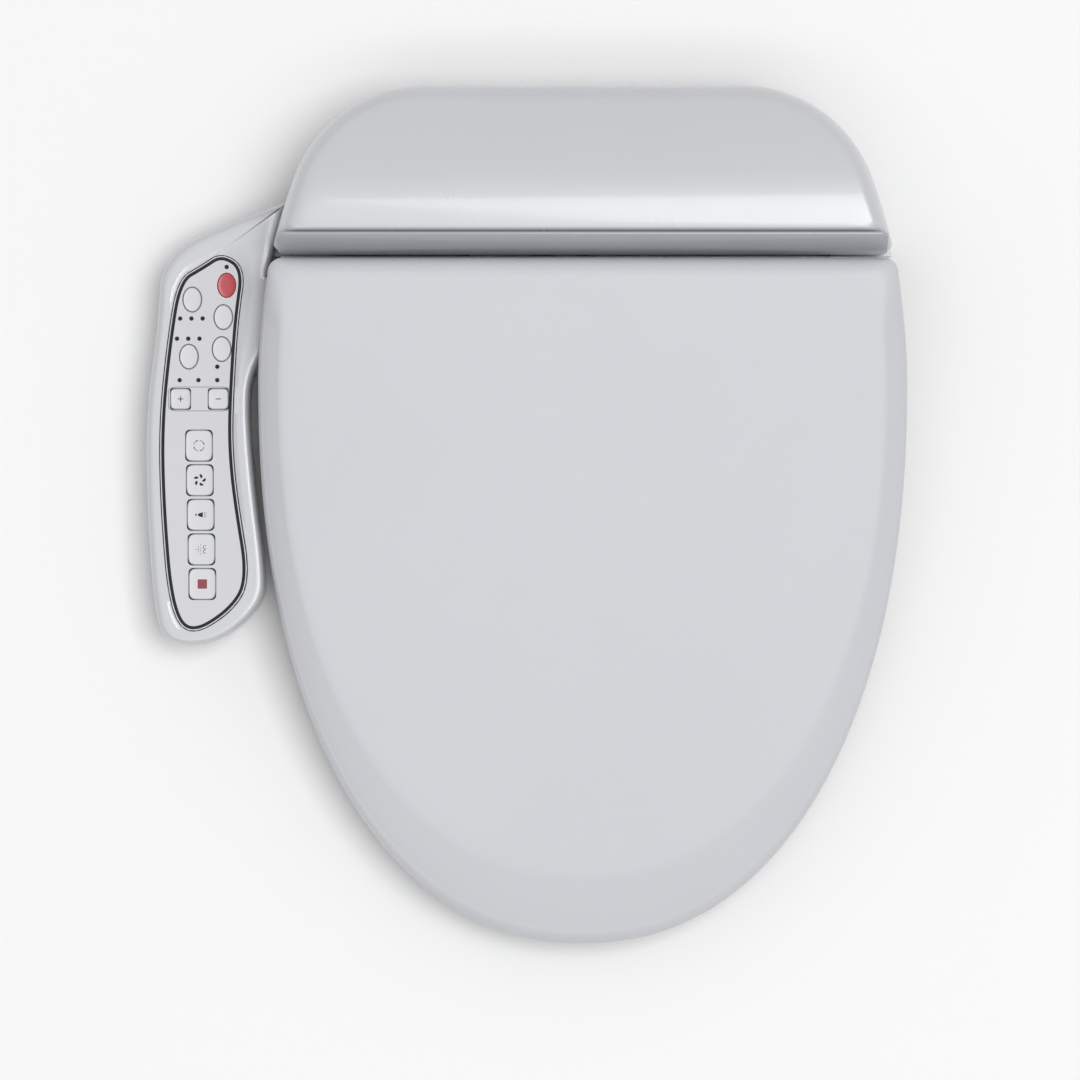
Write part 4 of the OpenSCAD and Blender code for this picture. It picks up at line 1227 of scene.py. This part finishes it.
@dataclass
class Bar:
    """A moulded bar along X with a section in the Y-Z plane and rounded ends.

    Attributes:
        name: the object's name.
        section: outline of the section, y and z, anticlockwise as seen from +X.
        middle: a point inside the section that sees all of its outline.
        x0: its left end.
        x1: its right end.
        edge: radius of its ends' edges.
    """

    name: str
    section: Array
    middle: tuple[float, float]
    x0: float
    x1: float
    edge: float = 0.8 * MM

    def build(self) -> bpy.types.Object:
        """Stack the section from left to right, drawn in at both ends by a quarter round."""
        ins = [(d, self.x0 + run) for run, d in round_edge(self.edge, 5)]
        outs = [(d, self.x0 + self.x1 - x) for d, x in ins[::-1]]
        rings = [np.insert(inset(self.section, d), 0, x, axis=1) for d, x in ins + outs]
        left, right = ((x, *self.middle) for x in (self.x0, self.x1))
        return skin(self.name, np.array(rings), Ends.POLES, (np.array(left), np.array(right)))


def eye_section(hinge: Hinge, r: float, root: Array) -> Array:
    """Section of a hinge eye: an arc about the axis, open toward a neck that runs to a short root edge.

    Args:
        hinge: the axis.
        r: radius of the arc.
        root: the root's lower and upper corner, y and z.
    Returns:
        The outline, anticlockwise.
    """
    t = np.radians(np.linspace(-125, 110, 60))
    arc = np.column_stack([hinge.y + r * np.cos(t), hinge.z + r * np.sin(t)])
    return np.vstack([root[:1], arc, root[1:]])


@dataclass
class SeatEyes:
    """The two hinge eyes that carry the seat ring.

    Attributes:
        hinge: the axis.
        ring: the ring they belong to.
        r: radius of the eyes.
        inset: how far in from the widest line each eye's outer end is.
        width: width of each eye.
        root_in: how far the root goes into the ring.
        root_low: height of the root's lower corner above the ring's underside.
        root_high: depth of its upper corner below the ring's top.
    """

    hinge: Hinge
    ring: SeatRing
    r: float = 10.5 * MM
    inset: float = 75 * MM
    width: float = 23 * MM
    root_in: float = 1.2 * MM
    root_low: float = 5 * MM
    root_high: float = 0.6 * MM

    def build(self) -> None:
        """Build both eyes and dress them as part of the seat."""
        rear = float(edges("seat_ring_base")[1][1]) - self.root_in
        top = float(self.ring.top(np.array(rear)))
        root = np.array([[rear, top - self.ring.thick + self.root_low], [rear, top - self.root_high]])
        section = eye_section(self.hinge, self.r, root)
        middle = (self.hinge.y - 5 * MM, self.hinge.z - 3 * MM)
        outer = self.ring.plan.half_w - self.inset
        inner = outer - self.width
        for side, (x0, x1) in {"right": (inner, outer), "left": (-outer, -inner)}.items():
            piece = Bar(f"seat_eye_{side}", section, middle, x0, x1).build()
            nodes = ("seat_ring_top",) if side == "right" else ()
            dress(piece, WHITE_RING, "seat", "white_ring", *nodes)


SOFTENED: tuple[tuple[str, float], ...] = (
    ("base_tray", 0.8), ("nozzle_hood", 0.8), ("hinge_brackets", 1.0), ("lid_liner", 0.5),
    ("mounting_plate", 0.6), ("slot_washers", 0.4), ("dryer_flap", 0.25), ("release_button", 0.8),
    ("seat_bumpers", 0.8), ("base_feet", 0.6), ("inlet_fitting", 0.3), ("cord_gland", 0.4),
    ("lid_bumpers", 0.7),
)


def dress_frame() -> None:
    """Give each CAD node its own finish, and round the edges of the moulded ones."""
    record = frame["record"]
    slot_of = {row["node"]: row["material_slot"] for row in record["subparts"]}
    body_of = {node: body for body, nodes in record["behaviour"]["bodies"].items() for node in nodes}
    for name, piece in frame["nodes"].items():
        piece.data.materials.clear()
        piece.data.materials.append(FINISH_OF_SLOT[slot_of[name]].make())
        piece.data.shade_smooth()
        piece.data.set_sharp_from_angle(angle=math.radians(30))
    for name, radius in SOFTENED:
        slot = slot_of[name]
        Softened(name, FINISH_OF_SLOT[slot], body_of[name], slot, radius * MM).build()


# ---------------------------------------------------------------- studio

@dataclass
class Studio:
    """Pale floor, soft overhead light and a camera that looks straight down.

    Attributes:
        centre: the point that the camera looks at, in x and y.
        height: the camera's height above the lid.
        width: width of the view at the lid.
        sensor: width of the camera's sensor in millimetres.
    """

    centre: tuple[float, float] = (-25.4 * MM, -219.2 * MM)
    height: float = 6.0
    width: float = 0.639
    sensor: float = 36.0

    def floor(self) -> None:
        """A pale sheet under the object."""
        size, z = 6.0, float(CAD_BOX[0][2]) - 0.0005
        mesh = bpy.data.meshes.new("floor")
        mesh.from_pydata([(-size, -size, z), (size, -size, z), (size, size, z), (-size, size, z)], [],
                         [(0, 1, 2, 3)])
        floor = bpy.data.objects.new("floor", mesh)
        bpy.context.scene.collection.objects.link(floor)
        material = bpy.data.materials.new("pale paper")
        material.use_nodes = True
        shader = material.node_tree.nodes["Principled BSDF"]
        shader.inputs["Base Color"].default_value = (0.95, 0.95, 0.945, 1)
        shader.inputs["Roughness"].default_value = 0.8
        mesh.materials.append(material)

    def lamp(self, name: str, place: tuple[float, float, float], aim: tuple[float, float, float],
             size: tuple[float, float], watts: float) -> None:
        """Add one soft rectangular lamp.

        Args:
            name: the lamp's name.
            place: where it stands.
            aim: the point it faces.
            size: its width and height.
            watts: its power.
        """
        light = bpy.data.lights.new(name, "AREA")
        light.shape = "RECTANGLE"
        light.size, light.size_y = size
        light.energy = watts
        piece = bpy.data.objects.new(name, light)
        piece.location = place
        piece.rotation_euler = (Vector(aim) - Vector(place)).to_track_quat("-Z", "Y").to_euler()
        bpy.context.scene.collection.objects.link(piece)

    def build(self) -> None:
        """Lay the floor, hang the lamps and set the camera."""
        scene = bpy.context.scene
        self.floor()
        x, y = self.centre
        aim = (0.0, -0.15, 0.08)
        self.lamp("top_bank", (1.3, 0.3, 6.8), aim, (2.6, 2.6), 185)
        self.lamp("front_bank", (0.0, -0.95, 3.0), (0.0, -0.04, 0.11), (2.4, 0.6), 11)
        world = bpy.data.worlds.new("studio")
        world.use_nodes = True
        world.node_tree.nodes["Background"].inputs["Color"].default_value = (0.985, 0.99, 1.0, 1)
        world.node_tree.nodes["Background"].inputs["Strength"].default_value = 0.54
        scene.world = world
        camera = bpy.data.cameras.new("overhead")
        camera.sensor_width = self.sensor
        camera.lens = self.sensor * self.height / self.width
        piece = bpy.data.objects.new("overhead", camera)
        piece.location = (x, y, 0.09 + self.height)
        scene.collection.objects.link(piece)
        scene.camera = piece
        scene.view_settings.view_transform = "Standard"
        scene.view_settings.look = "None"


# ---------------------------------------------------------------- main

def main() -> None:
    """Build every piece round the frame, then the studio."""
    logging.basicConfig(level=logging.INFO, format="%(message)s")
    lid_low, lid_high = edges("lid_shell")
    _, cover_high = edges("rear_cover")
    plan = Plan(half_w=float(lid_high[0]), front=-float(lid_low[1]), back=float(cover_high[1]))
    place = joint_place("seat_hinge")
    hinge = Hinge(place[1], place[2])
    dress_frame()
    Housing(plan).build()
    ring = SeatRing(plan)
    ring.build()
    SeatEyes(hinge, ring).build()
    Lid(plan, hinge).build()
    ControlArm(plan).build()
    Studio().build()


if __name__ == "__main__":
    main()
